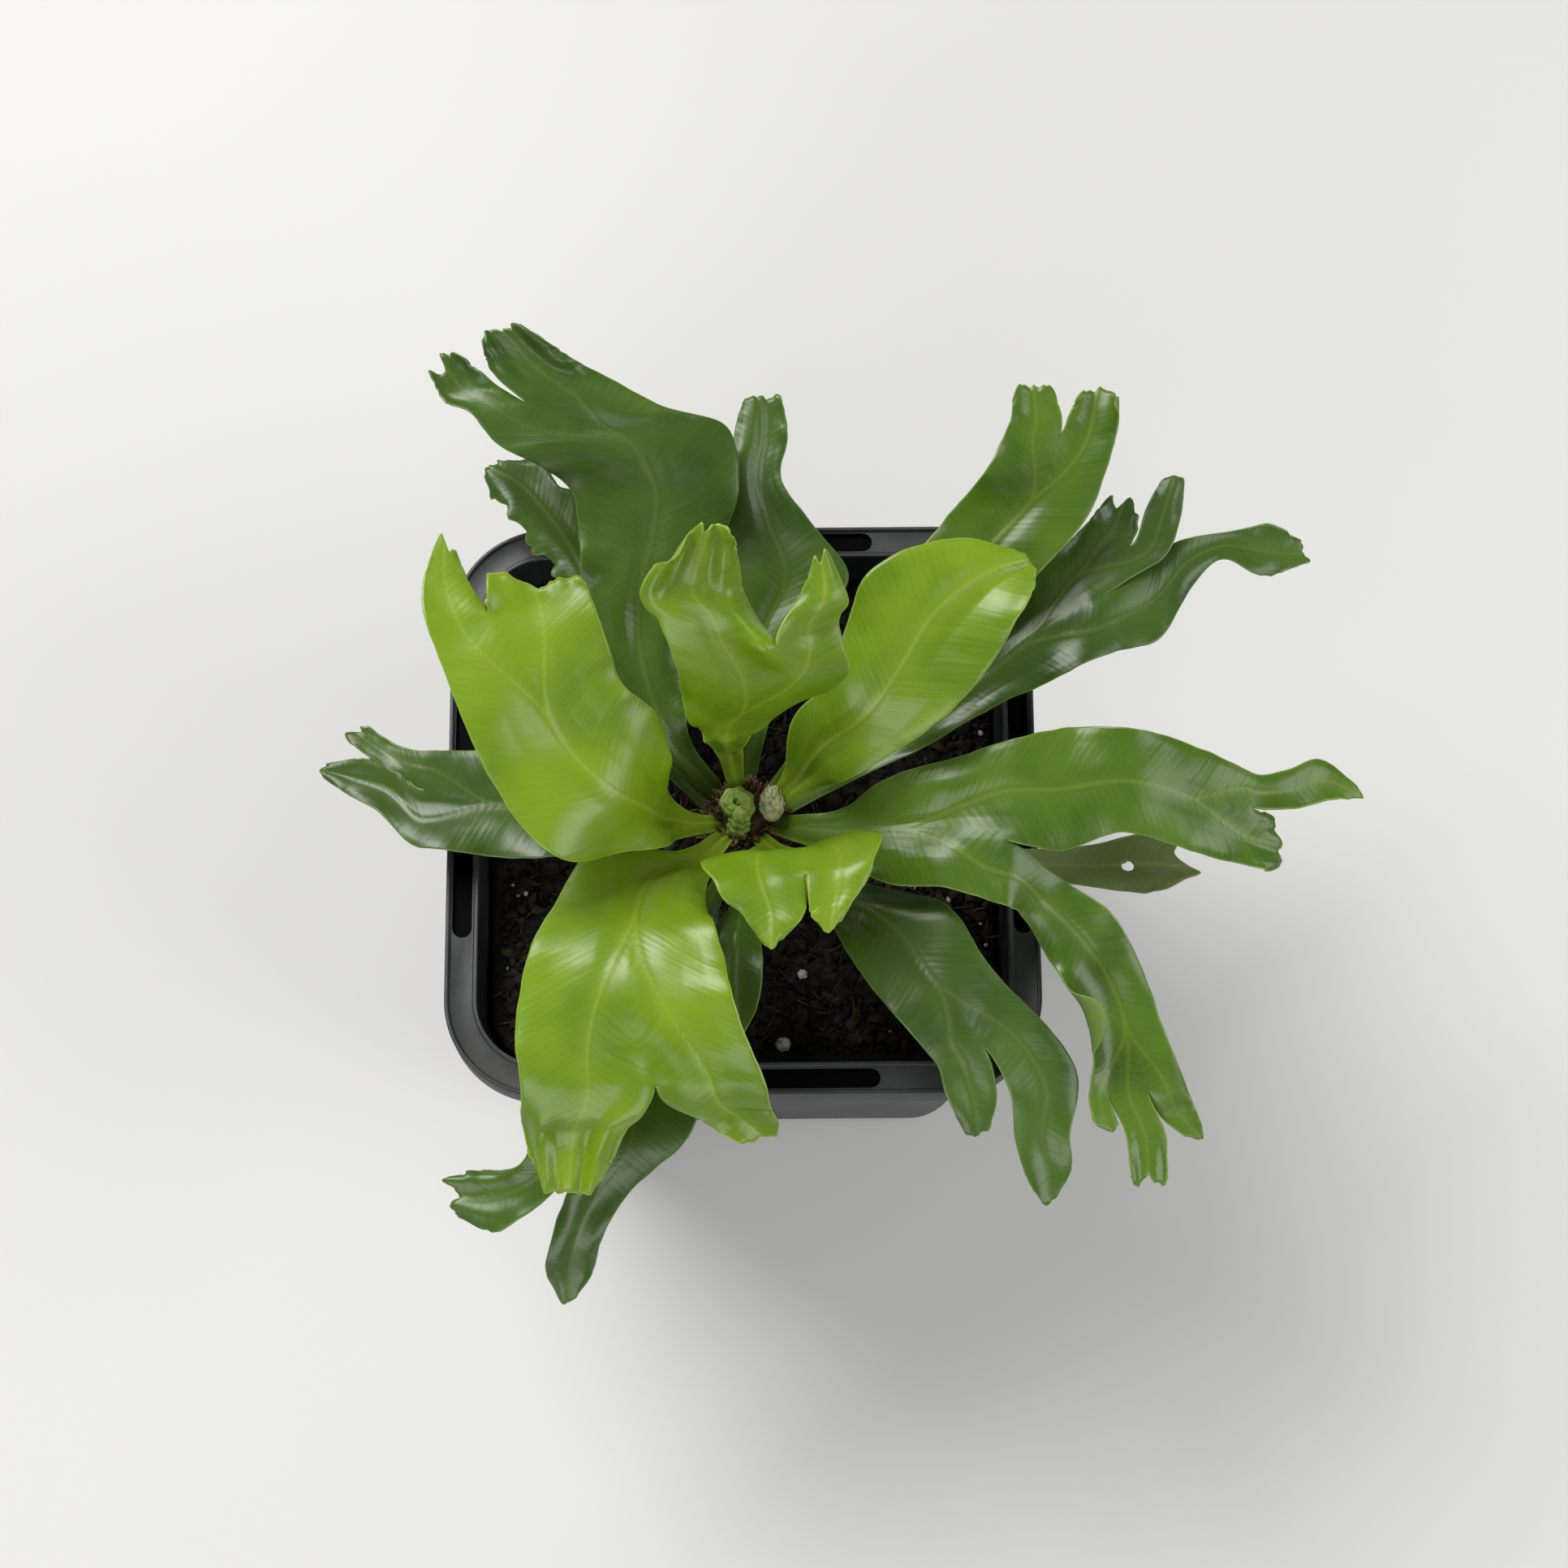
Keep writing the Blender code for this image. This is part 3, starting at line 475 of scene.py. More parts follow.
BUD_FINISH = ShootFinish("bud_green", green=(0.160, 0.200, 0.050), pale=(0.420, 0.430, 0.230))
SHOOT_FINISH = ShootFinish("crozier_green", green=(0.085, 0.165, 0.010), pale=(0.230, 0.320, 0.050))


# ------------------------------------------------------------------ mesh tools


def link_mesh(name: str, vertices: Sequence, faces: Sequence,
              material: Material) -> Piece:
    """Makes a smooth-shaded object from points and faces and links it to the scene.

    Args:
        name: the object's name.
        vertices: points in metres.
        faces: lists of vertex indices, anticlockwise seen from outside.
        material: its one material.

    Returns:
        The object.
    """
    mesh = bpy.data.meshes.new(name)
    mesh.from_pydata([tuple(map(float, v)) for v in vertices], [], [list(map(int, f)) for f in faces])
    mesh.update()
    mesh.polygons.foreach_set("use_smooth", [True] * len(mesh.polygons))
    mesh.materials.append(material)
    obj = bpy.data.objects.new(name, mesh)
    bpy.context.scene.collection.objects.link(obj)
    return obj


def store(mesh: bpy.types.Mesh, name: str, values: Iterable[float]) -> None:
    """Stores one number at each point of a mesh.

    Args:
        mesh: the mesh.
        name: the attribute's name, which a material reads.
        values: one number for each point.
    """
    layer = mesh.attributes.new(name, "FLOAT", "POINT")
    layer.data.foreach_set("value", np.asarray(list(values), np.float32))


def bake(obj: Piece) -> None:
    """Applies an object's modifiers, so that it is one plain mesh.

    Args:
        obj: the object, changed in place.
    """
    graph = bpy.context.evaluated_depsgraph_get()
    graph.update()
    mesh = bpy.data.meshes.new_from_object(obj.evaluated_get(graph), depsgraph=graph)
    obj.modifiers.clear()
    obj.data = mesh
    mesh.name = obj.name


def dress(obj: Piece, slot: str, *nodes: str) -> None:
    """Puts a finished piece on the frame.

    Args:
        obj: the piece.
        slot: the name of the material slot that the piece stands for. It is not used.
        nodes: the CAD nodes that it stands for.
    """
    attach(obj, BODY)
    if nodes:
        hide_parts(*nodes)
    LOG.info("%s: %d faces", obj.name, len(obj.data.polygons))


def ease(values: np.ndarray | float, low: float, high: float) -> np.ndarray:
    """Returns 0 below low and 1 above high, eased between them."""
    t = np.clip((np.asarray(values, float) - low) / (high - low), 0.0, 1.0)
    return t * t * (3 - 2 * t)


def rounded_square(half: float, corner: float, steps: int) -> list[tuple[float, float]]:
    """Returns a square with round corners as an anticlockwise outline.

    Args:
        half: half the square's width.
        corner: its corner radius.
        steps: segments in each corner.
    """
    points = []
    for quarter, (side_x, side_y) in enumerate(((1, 1), (-1, 1), (-1, -1), (1, -1))):
        for step in range(steps + 1):
            angle = (quarter + step / steps) * math.pi / 2
            points.append((
                side_x * (half - corner) + corner * math.cos(angle),
                side_y * (half - corner) + corner * math.sin(angle),
            ))
    return points


def skin(rings: Sequence[Sequence]) -> tuple[list, list]:
    """Skins rings of equal length, from the first outward to the last.

    Args:
        rings: lists of points. The first is fanned shut facing down, the last facing up.

    Returns:
        The vertices and the faces.
    """
    count = len(rings[0])
    vertices = [tuple(point) for ring in rings for point in ring]
    faces = []
    for level in range(len(rings) - 1):
        low = level * count
        for i in range(count):
            j = (i + 1) % count
            faces.append((low + i, low + j, low + count + j, low + count + i))
    for ring, start, upward in ((rings[0], 0, False), (rings[-1], (len(rings) - 1) * count, True)):
        centre = len(vertices)
        vertices.append(tuple(np.mean(np.asarray(ring), axis=0)))
        for i in range(count):
            j = (i + 1) % count
            faces.append((start + i, start + j, centre) if upward else (start + j, start + i, centre))
    return vertices, faces


def outward_skin(rings: Sequence[Sequence]) -> tuple[list, list]:
    """Skins rings as skin does, and turns the faces outward whichever way the rings run."""
    vertices, faces = skin(rings)
    return vertices, [face[::-1] for face in faces] if mesh_volume(vertices, faces) < 0 else faces


def mesh_volume(vertices: Sequence, faces: Sequence) -> float:
    """Returns the signed volume of a closed mesh, positive when its faces point outward."""
    points = np.asarray(vertices, float)
    total = 0.0
    for face in faces:
        for i in range(1, len(face) - 1):
            total += float(np.dot(points[face[0]], np.cross(points[face[i]], points[face[i + 1]])))
    return total / 6


def compass(angle: float) -> tuple[np.ndarray, np.ndarray]:
    """Returns the level direction at an angle in radians, and the one a quarter turn on."""
    cosine, sine = math.cos(angle), math.sin(angle)
    return np.array([cosine, sine, 0.0]), np.array([-sine, cosine, 0.0])


def level_ring(outline: Iterable[tuple[float, float]], z: float) -> list[tuple[float, float, float]]:
    """Returns an outline in millimetres as a level ring of points in metres."""
    return [(x * MM, y * MM, z * MM) for x, y in outline]


# ----------------------------------------------------------------------- crown


@dataclass(frozen=True)
class CrownSizes:
    """The sizes that the crown's pieces and the fronds share, in millimetres.

    Heights are from the level of the rim.
    """

    x: float = 0.5
    y: float = -3.0
    rim: float = 75.0
    radius: float = 6.4
    top_radius: float = 4.2
    lower_ring: float = -3.0
    upper_ring: float = 3.0
    top: float = 5.5
    soil: float = -9.0
    root_depth: float = 22.0
    root_radius: float = 5.0

    def place(self, z: float = 0.0) -> np.ndarray:
        """Returns the point on the crown's axis at a height above the rim, in millimetres."""
        return np.array([self.x, self.y, self.rim + z])


# ---------------------------------------------------------------------- fronds


@dataclass(frozen=True)
class Rib:
    """One cross-section of a blade, in millimetres and degrees.

    x, y and z are its middle, from the crown's centre at the level of the rim. turn is the
    way the blade grows, seen from above, and roll lifts its left edge.
    """

    x: float
    y: float
    z: float
    half: float
    turn: float
    roll: float = 0.0


class Tip(NamedTuple):
    """A horn or a notch in an end.

    across runs from -1 at the left edge to 1 at the right. reach is how far it stands out,
    and less than 0 for a notch. width is half its width. Both are in millimetres.
    """

    across: float
    reach: float
    width: float


class Curl(NamedTuple):
    """A margin that rolls up and over, from a start to full at shares of the length.

    It has unrolled again by end.
    """

    side: int
    start: float
    full: float
    angle: float
    end: float = 9.0


class Hole(NamedTuple):
    """A round hole: its distance from the foot, its offset from the midrib and its radius."""

    along: float
    across: float
    radius: float


@dataclass(frozen=True)
class Lobe:
    """A branch of a blade: its share of the columns, its ribs, its branches and its end.

    crest is how deep the end's small teeth are, pleat how deep its flutes are, and curl how
    far the end turns up, in millimetres.
    """

    columns: int
    ribs: tuple[Rib, ...]
    lobes: tuple[Lobe, ...] = ()
    tips: tuple[Tip, ...] = ()
    curls: tuple[Curl, ...] = ()
    crest: float = 0.35
    pleat: float = 0.2
    curl: float = 0.0


@dataclass(frozen=True)
class FrondPlan:
    """One frond: its age, where its stalk meets the crown, its ribs and its habit.

    fold raises the edges above the midrib as a share of the half width. ruffle is how far
    the edges wave, teeth and comb how deep the edges and the left edge alone are cut, and lip
    how far the bottom of a fork turns up. The rest is as for a lobe.
    """

    age: Age
    foot: float
    upper: bool
    ribs: tuple[Rib, ...]
    lobes: tuple[Lobe, ...] = ()
    tips: tuple[Tip, ...] = ()
    curls: tuple[Curl, ...] = ()
    holes: tuple[Hole, ...] = ()
    crest: float = 0.3
    pleat: float = 0.15
    curl: float = 0.0
    fold: float = 0.0
    ruffle: float = 0.5
    teeth: float = 0.07
    comb: float = 0.0
    lip: float = 0.0
    faded: bool = False
    seed: int = 0


@dataclass
class Blade:
    """Lofts one frond's blade as a closed thin solid with a midrib, waves and teeth.

    Its sizes are in millimetres. fine is how many columns of faces a column of the plan
    becomes, arch how far the blade domes as a share of its half width, and tooth_pitch how
    fast the edge's teeth change along it.
    """

    plan: FrondPlan
    crown: CrownSizes
    stalk_half: float = 1.1
    foot_gap: float = 1.4
    foot_sunk: float = 2.2
    row_step: float = 0.62
    fine: int = 7
    arch: float = 0.10
    wave: float = 0.45
    wave_length: float = 17.0
    pleat_width: float = 3.1
    thickness: float = 0.42
    tooth_pitch: float = 0.42
    finger_width: float = 2.6
    finger_start: tuple[float, float] = (34.0, 42.0)
    billow: float = 0.8
    quilt_depth: float = 0.028
    quilt_width: float = 5.2
    midrib_rise: float = 0.12
    midrib_width: float = 0.40
    groove_depth: float = 0.42
    groove_width: float = 2.2
    pleat_length: float = 18.0
    curl_length: float = 7.0
    lip_length: float = 6.5
    lip_width: float = 2.6
    points: list[np.ndarray] = field(default_factory=list)
    offsets: list[np.ndarray] = field(default_factory=list)
    alongs: list[np.ndarray] = field(default_factory=list)
    margins: list[np.ndarray] = field(default_factory=list)
    crossings: list[np.ndarray] = field(default_factory=list)
    ends: list[np.ndarray] = field(default_factory=list)
    faces: list[tuple[int, ...]] = field(default_factory=list)
    count: int = 0

    def edges(self, rib: Rib) -> np.ndarray:
        """Returns a rib's left and right ends as one row of six numbers."""
        turn, roll = math.radians(rib.turn), math.radians(rib.roll)
        middle = self.crown.place() + np.array([rib.x, rib.y, rib.z])
        across = rib.half * np.array([
            -math.sin(turn) * math.cos(roll), math.cos(turn) * math.cos(roll), math.sin(roll),
        ])
        return np.concatenate([middle + across, middle - across])

    def foot(self) -> np.ndarray:
        """Returns the stalk's end on the crown's own ring of fronds."""
        angle = math.radians(self.plan.foot)
        ring = self.crown.upper_ring if self.plan.upper else self.crown.lower_ring
        radius = self.crown.top_radius if self.plan.upper else self.crown.radius
        outward, sideways = compass(angle)
        middle = self.crown.place(ring) + (radius + self.foot_gap - self.foot_sunk) * outward
        across = self.stalk_half * sideways
        return np.concatenate([middle + across, middle - across])

    def rows(self, knots: Sequence[np.ndarray], lead: np.ndarray | None) -> tuple[np.ndarray, np.ndarray]:
        """Runs closely spaced rows on a smooth path through the knots.

        Args:
            knots: rows of six numbers, a left and a right edge.
            lead: the direction in which the first row leaves, or None for its own.

        Returns:
            The rows, and the direction at the last one.
        """
        knots = np.asarray(knots)
        middles = (knots[:, :3] + knots[:, 3:]) / 2
        lengths = np.linalg.norm(np.diff(middles, axis=0), axis=1)
        slopes = np.diff(knots, axis=0) / lengths[:, None]
        tangents = np.empty_like(knots)
        tangents[0], tangents[-1] = slopes[0], slopes[-1]
        if lead is not None:
            tangents[0] = 0.25 * slopes[0] + 0.75 * lead
        for i in range(1, len(knots) - 1):
            before, after = lengths[i - 1], lengths[i]
            tangents[i] = (slopes[i - 1] * after + slopes[i] * before) / (before + after)
        found = [knots[:1]]
        for i, length in enumerate(lengths):
            steps = max(2, round(length / self.row_step))
            t = (np.arange(1, steps + 1) / steps)[:, None]
            found.append(
                (2 * t**3 - 3 * t**2 + 1) * knots[i]
                + (t**3 - 2 * t**2 + t) * length * tangents[i]
                + (3 * t**2 - 2 * t**3) * knots[i + 1]
                + (t**3 - t**2) * length * tangents[i + 1]
            )
        return np.concatenate(found), tangents[-1]

    def hash(self, along: float, across: float) -> float:
        """Returns smooth noise from about -1 to 1 at two numbers, by the frond's seed."""
        return 2.0 * noise.noise(Vector((along, across, 3.7 * self.plan.seed)))

    def edge_noise(self, seeds: np.ndarray, pitch: float, apart: float, shift: float = 0.0) -> np.ndarray:
        """Returns noise along the left and the right edge, in two columns.

        Args:
            seeds: each row's distance from the foot.
            pitch: how fast it changes along the edge.
            apart: how unlike the two edges are.
            shift: which noise it is.
        """
        return np.array([[self.hash(pitch * s, apart * w + shift) for w in (-1.0, 1.0)] for s in seeds])

    def profile(self, piece: Lobe | FrondPlan, u: np.ndarray, half: float, start: float) -> np.ndarray:
        """Returns how far each column's end stands out past the last rib, in millimetres."""
        place = u * half
        dome = np.sqrt(np.clip(1 - u**2, 0, 1))
        end = half * (0.55 * dome - 0.30)
        jag = np.array([
            self.hash(0.95 * w, 60.0 + start) + 0.35 * self.hash(2.1 * w, 80.0 + start) for w in place
        ])
        end = end + piece.crest * jag * np.sqrt(np.clip(1.08 - u**2, 0, 1))
        for tip in piece.tips:
            end = end + tip.reach * np.exp(-(((u - tip.across) * half / tip.width) ** 2))
        return end

    def roll(self, piece: Lobe | FrondPlan, u: np.ndarray,
             share: np.ndarray) -> tuple[np.ndarray, np.ndarray]:
        """Rolls margins over.

        Args:
            piece: the lobe or the frond, with its curls.
            u: the columns' places from -1 to 1.
            share: each row's share of the length.

        Returns:
            Each point's place across and height, both in half widths.
        """
        hinge = 0.22
        flat = np.broadcast_to(u[None, :], (len(share), len(u))).copy()
        lift = np.zeros_like(flat)
        for curl in piece.curls:
            rolled = ease(share, curl.start, curl.full) * (1 - ease(share, curl.end - 0.3, curl.end))
            angle = curl.angle * rolled[:, None]
            widest = np.maximum(np.sin(np.minimum(angle, math.pi / 2)), 1e-6)
            over = np.clip((u[None, :] * curl.side - hinge) / (1 - hinge), 0, 1)
            live = (over > 0) & (angle > 0.02)
            reach = hinge + (1 - hinge) * np.sin(angle * over) / widest
            flat = np.where(live, curl.side * reach, flat)
            lift = np.where(live, (1 - hinge) * (1 - np.cos(angle * over)) / widest, lift)
        return flat, lift

    def strip(self, rows: np.ndarray, columns: int, start: float, piece: Lobe | FrondPlan,
              first: np.ndarray | None) -> np.ndarray:
        """Adds one strip of the blade.

        Args:
            rows: its rows of six numbers.
            columns: its columns.
            start: the distance from the foot to its first row.
            piece: the lobe or the frond that it is the body of.
            first: the indices of a first row that it shares.

        Returns:
            The last row's indices.
        """
        plan = self.plan
        left, right = rows[:, :3], rows[:, 3:]
        middle = (left + right) / 2
        steps = np.linalg.norm(np.diff(middle, axis=0), axis=1)
        run = np.concatenate([[0.0], np.cumsum(steps)])
        total = run[-1]
        half = np.linalg.norm(left - right, axis=1) / 2
        forward = np.gradient(middle, axis=0)
        forward /= np.linalg.norm(forward, axis=1)[:, None]
        across = (right - left) / (2 * half[:, None])
        normal = np.cross(across, forward)
        normal /= np.linalg.norm(normal, axis=1)[:, None]
        normal[normal[:, 2] < 0] *= -1
        u = np.linspace(-1.0, 1.0, columns + 1)
        ends_here = not piece.lobes
        tail = total - run if ends_here else np.full_like(run, 99.0)
        near_tip = (1 - ease(tail, 1.0, 9.0))[:, None]

        offset = np.abs(u)[None, :] * half[:, None]
        forks = self.forks(piece)
        if forks:
            spread = ease(run, total - 1.5 * half[-1], total)
            gaps = [np.abs(u[None, :] - spread[:, None] * middle_of) * half[:, None] for middle_of in forks]
            offset = np.minimum.reduce(gaps)

        def by_side(edges: np.ndarray) -> np.ndarray:
            """Spreads the left and the right edge's numbers over their halves of the blade."""
            return np.where(u[None, :] < 0, edges[:, :1], edges[:, 1:])

        side = np.where(u < 0, -1.0, 1.0)
        reach = np.minimum(1.0, half / 4.0)[:, None]
        seeds = start + run
        lively = ease(half, 1.6, 4.5)[:, None]
        cuts = self.edge_noise(seeds, self.tooth_pitch, 5.0)
        fine_cuts = self.edge_noise(seeds, 1.25, 9.0)
        teeth = plan.teeth * cuts + near_tip * piece.crest * 0.7 * (np.abs(fine_cuts) - 0.3)
        combed = ease(seeds, *self.finger_start)
        fingers = np.abs(np.sin(math.pi * seeds / self.finger_width)) ** 0.7 * combed
        teeth[:, 0] += plan.comb * (1.0 - fingers) * combed
        pull = by_side(teeth) * lively * np.abs(u)[None, :] ** 4
        flat, lift = self.roll(piece, u, run / total)
        place_across = flat * half[:, None] - side[None, :] * pull

        height = self.arch * half[:, None] * (1 - u**2)[None, :] + lift * half[:, None]
        height += plan.fold * half[:, None] * (np.sqrt(u**2 + 0.02) - 0.14)[None, :]
        beat = np.sin(2 * math.pi * seeds / self.wave_length + plan.seed)[:, None]
        height += self.wave * reach * beat * (u * np.abs(u))[None, :]
        swell = self.edge_noise(seeds, 0.13, 3.0, 20.0)
        flutter = self.edge_noise(seeds, self.tooth_pitch, 3.0, 40.0)
        edge_wave = plan.ruffle * (1.35 * swell + (0.10 + 0.8 * near_tip) * flutter)
        height += by_side(edge_wave) * reach * (np.abs(u) ** 2.0)[None, :]
        spots = u[::self.fine] * half.max()
        body = np.array([[self.hash(0.085 * s, 0.11 * w + 11.0) for w in spots] for s in seeds])
        body = np.stack([np.interp(u, u[::self.fine], row) for row in body])
        height += self.billow * body * reach * (1 - u**2)[None, :]
        phase = 2 * math.pi * u[None, :] * half[-1] / self.pleat_width + 1.7 * plan.seed
        pleated = (1 - ease(tail, 0.0, self.pleat_length))[:, None]
        height += piece.pleat * pleated * np.sin(phase) * np.sqrt(np.abs(u))[None, :]
        veins = 2 * math.pi * (seeds[:, None] - 0.62 * offset) / self.quilt_width
        quilt = np.sin(veins + 1.3 * cuts[:, :1])
        inward = ease(offset, 0.5, 2.5) * ease(half[:, None] * (1 - np.abs(u))[None, :], 0.0, 2.0)
        height += self.quilt_depth * quilt * inward
        slim = 1 - 0.6 * ease(seeds, 20, 90)[:, None]
        ridge = self.midrib_rise * np.exp(-(offset / self.midrib_width) ** 2)
        groove = self.groove_depth * np.exp(-(offset / self.groove_width) ** 2)
        height += slim * (ridge - groove) * reach
        height += piece.curl * ((1 - ease(tail, 0.0, self.curl_length)) ** 1.5)[:, None]
        for low, high in zip(forks[:-1], forks[1:]):
            near = np.exp(-(((u - (low + high) / 2) * half[-1] / self.lip_width) ** 2))
            height += plan.lip * near[None, :] * (1 - ease(total - run, 0.0, self.lip_length))[:, None]

        push = np.zeros_like(height)
        if ends_here:
            longest = 0.50 * total
            end = np.clip(self.profile(piece, u, half[-1], start), -longest, longest + 1.5)
            stretch = min(max(3.0, 1.8 * float(np.abs(end).max())), 0.92 * total)
            push = (1 - ease(tail, 0.0, stretch))[:, None] * end[None, :]
        points = (
            middle[:, None, :]
            + across[:, None, :] * place_across[:, :, None]
            + normal[:, None, :] * height[:, :, None]
            + forward[:, None, :] * push[:, :, None]
        )
        margin = half[:, None] * (1 - np.abs(u))[None, :]
        if ends_here:
            margin = np.minimum(margin, tail[:, None] + 0.0 * u[None, :])
        if first is not None:
            rest = np.concatenate(self.points)[first] - points[0]
            fade = 1 - ease(run, 0.0, min(7.0, 0.8 * total))
            points += fade[:, None, None] * rest[None, :, :]
        skip = 0 if first is None else 1
        rows_made = len(rows) - skip
        index = self.count + np.arange(rows_made * (columns + 1)).reshape(rows_made, columns + 1)
        signed = u[None, :] * half[:, None]
        for store_in, values in (
            (self.offsets, offset), (self.margins, margin), (self.crossings, signed),
            (self.alongs, seeds[:, None] + 0 * signed), (self.ends, near_tip + 0 * signed),
        ):
            store_in.append(values[skip:].ravel())
        self.points.append(points[skip:].reshape(-1, 3))
        self.count += index.size
        grid = index if first is None else np.vstack([first[None, :], index])
        for low, high in zip(grid[:-1], grid[1:]):
            self.faces += [tuple(f) for f in np.stack([low[:-1], low[1:], high[1:], high[:-1]], axis=1)]
        return grid[-1]

    def forks(self, piece: Lobe | FrondPlan) -> list[float]:
        """Returns where the midrib's branches end across a piece's last row, from -1 to 1."""
        total = sum(lobe.columns for lobe in piece.lobes)
        found, begin = [], 0
        for lobe in piece.lobes:
            found.append(-1 + 2 * (begin + lobe.columns / 2) / total)
            begin += lobe.columns
        return found

    def branch(self, row: np.ndarray, lobes: Sequence[Lobe], lead: np.ndarray, start: float) -> None:
        """Shares a row out between lobes and grows each one on, with its own branches.

        Args:
            row: the indices of the row that they share.
            lobes: the lobes from left to right.
            lead: the direction in which the row was growing.
            start: the distance from the foot to the row.
        """
        begin, total = 0, sum(lobe.columns for lobe in lobes)
        for lobe in lobes:
            share = row[begin * self.fine:(begin + lobe.columns) * self.fine + 1]
            made = np.concatenate(self.points)
            first = np.concatenate([made[share[0]], made[share[-1]]])
            low, high = begin / total, (begin + lobe.columns) / total
            leads = np.concatenate([lead[:3] + (lead[3:] - lead[:3]) * at for at in (low, high)])
            rows, ahead = self.rows([first] + [self.edges(rib) for rib in lobe.ribs], leads)
            last = self.strip(rows, lobe.columns * self.fine, start, lobe, share)
            self.branch(last, lobe.lobes, ahead, start + self.length(rows))
            begin += lobe.columns

    def length(self, rows: np.ndarray) -> float:
        """Returns the length of a strip along its middle, in millimetres."""
        return float(np.linalg.norm(np.diff((rows[:, :3] + rows[:, 3:]) / 2, axis=0), axis=1).sum())

    def loft(self) -> None:
        """Lays out the trunk and its lobes as one open sheet."""
        plan = self.plan
        rows, lead = self.rows([self.foot()] + [self.edges(rib) for rib in plan.ribs], None)
        columns = sum(lobe.columns for lobe in plan.lobes) or 6
        last = self.strip(rows, columns * self.fine, 0.0, plan, None)
        self.branch(last, plan.lobes, lead, self.length(rows))

    def pierce(self, points: np.ndarray, faces: np.ndarray) -> np.ndarray:
        """Cuts the frond's holes out of the sheet and rounds their edges.

        Args:
            points: the sheet's points, changed in place round each hole.
            faces: the sheet's faces.

        Returns:
            The faces that are left.
        """
        along, crossing = np.concatenate(self.alongs), np.concatenate(self.crossings)
        for hole in self.plan.holes:
            near = np.hypot(along - hole.along, crossing - hole.across) < hole.radius
            gone = near[faces].all(axis=1)
            rim = np.intersect1d(faces[gone], faces[~gone])
            centre = points[rim].mean(axis=0)
            arms = points[rim] - centre
            points[rim] = centre + arms * (hole.radius / np.linalg.norm(arms, axis=1))[:, None]
            faces = faces[~gone]
        return faces

    def solid(self) -> tuple[np.ndarray, list[tuple[int, ...]], dict[str, np.ndarray]]:
        """Gives the sheet its thickness and its keel.

        Returns:
            The vertices in metres, the faces, and the numbers stored at each vertex.
        """
        points = np.concatenate(self.points)
        offset, along = np.concatenate(self.offsets), np.concatenate(self.alongs)
        margin, tip = np.concatenate(self.margins), np.concatenate(self.ends)
        faces = self.pierce(points, np.array(self.faces))
        first, second, third, fourth = (points[faces[:, i]] for i in range(4))
        face_normal = np.cross(third - first, fourth - second)
        normal = np.zeros_like(points)
        for corner in range(4):
            np.add.at(normal, faces[:, corner], face_normal)
        normal /= np.maximum(np.linalg.norm(normal, axis=1), 1e-9)[:, None]
        if face_normal[:, 2].sum() < 0:
            faces, normal = faces[:, ::-1], -normal
        skin_half = self.thickness / 2 * (0.55 + 0.45 * ease(margin, 0.0, 1.2))
        keel_half = 0.45 + 0.75 * (1 - ease(along, 0.0, 45.0))
        keel = (0.16 + 1.05 * (1 - ease(along, 0.0, 55.0))) * (1 - 0.7 * tip)
        low = skin_half + keel * np.exp(-((offset / keel_half) ** 4)) * ease(margin, 0.0, 0.9)
        top, bottom = points + normal * skin_half[:, None], points - normal * low[:, None]
        size = len(points)
        made = [tuple(f) for f in faces] + [tuple(f[::-1] + size) for f in faces]
        sides = [(a, b) for face in faces for a, b in zip(face, np.roll(face, -1))]
        seen = Counter((min(a, b), max(a, b)) for a, b in sides)
        made += [(b, a, a + size, b + size) for a, b in sides if seen[min(a, b), max(a, b)] == 1]
        stored = {
            "rib_offset": np.tile(offset, 2), "along": np.tile(along, 2), "margin": np.tile(margin, 2),
            "underside": np.concatenate([np.zeros(size), np.ones(size)]),
        }
        return np.concatenate([top, bottom]) * MM, made, stored


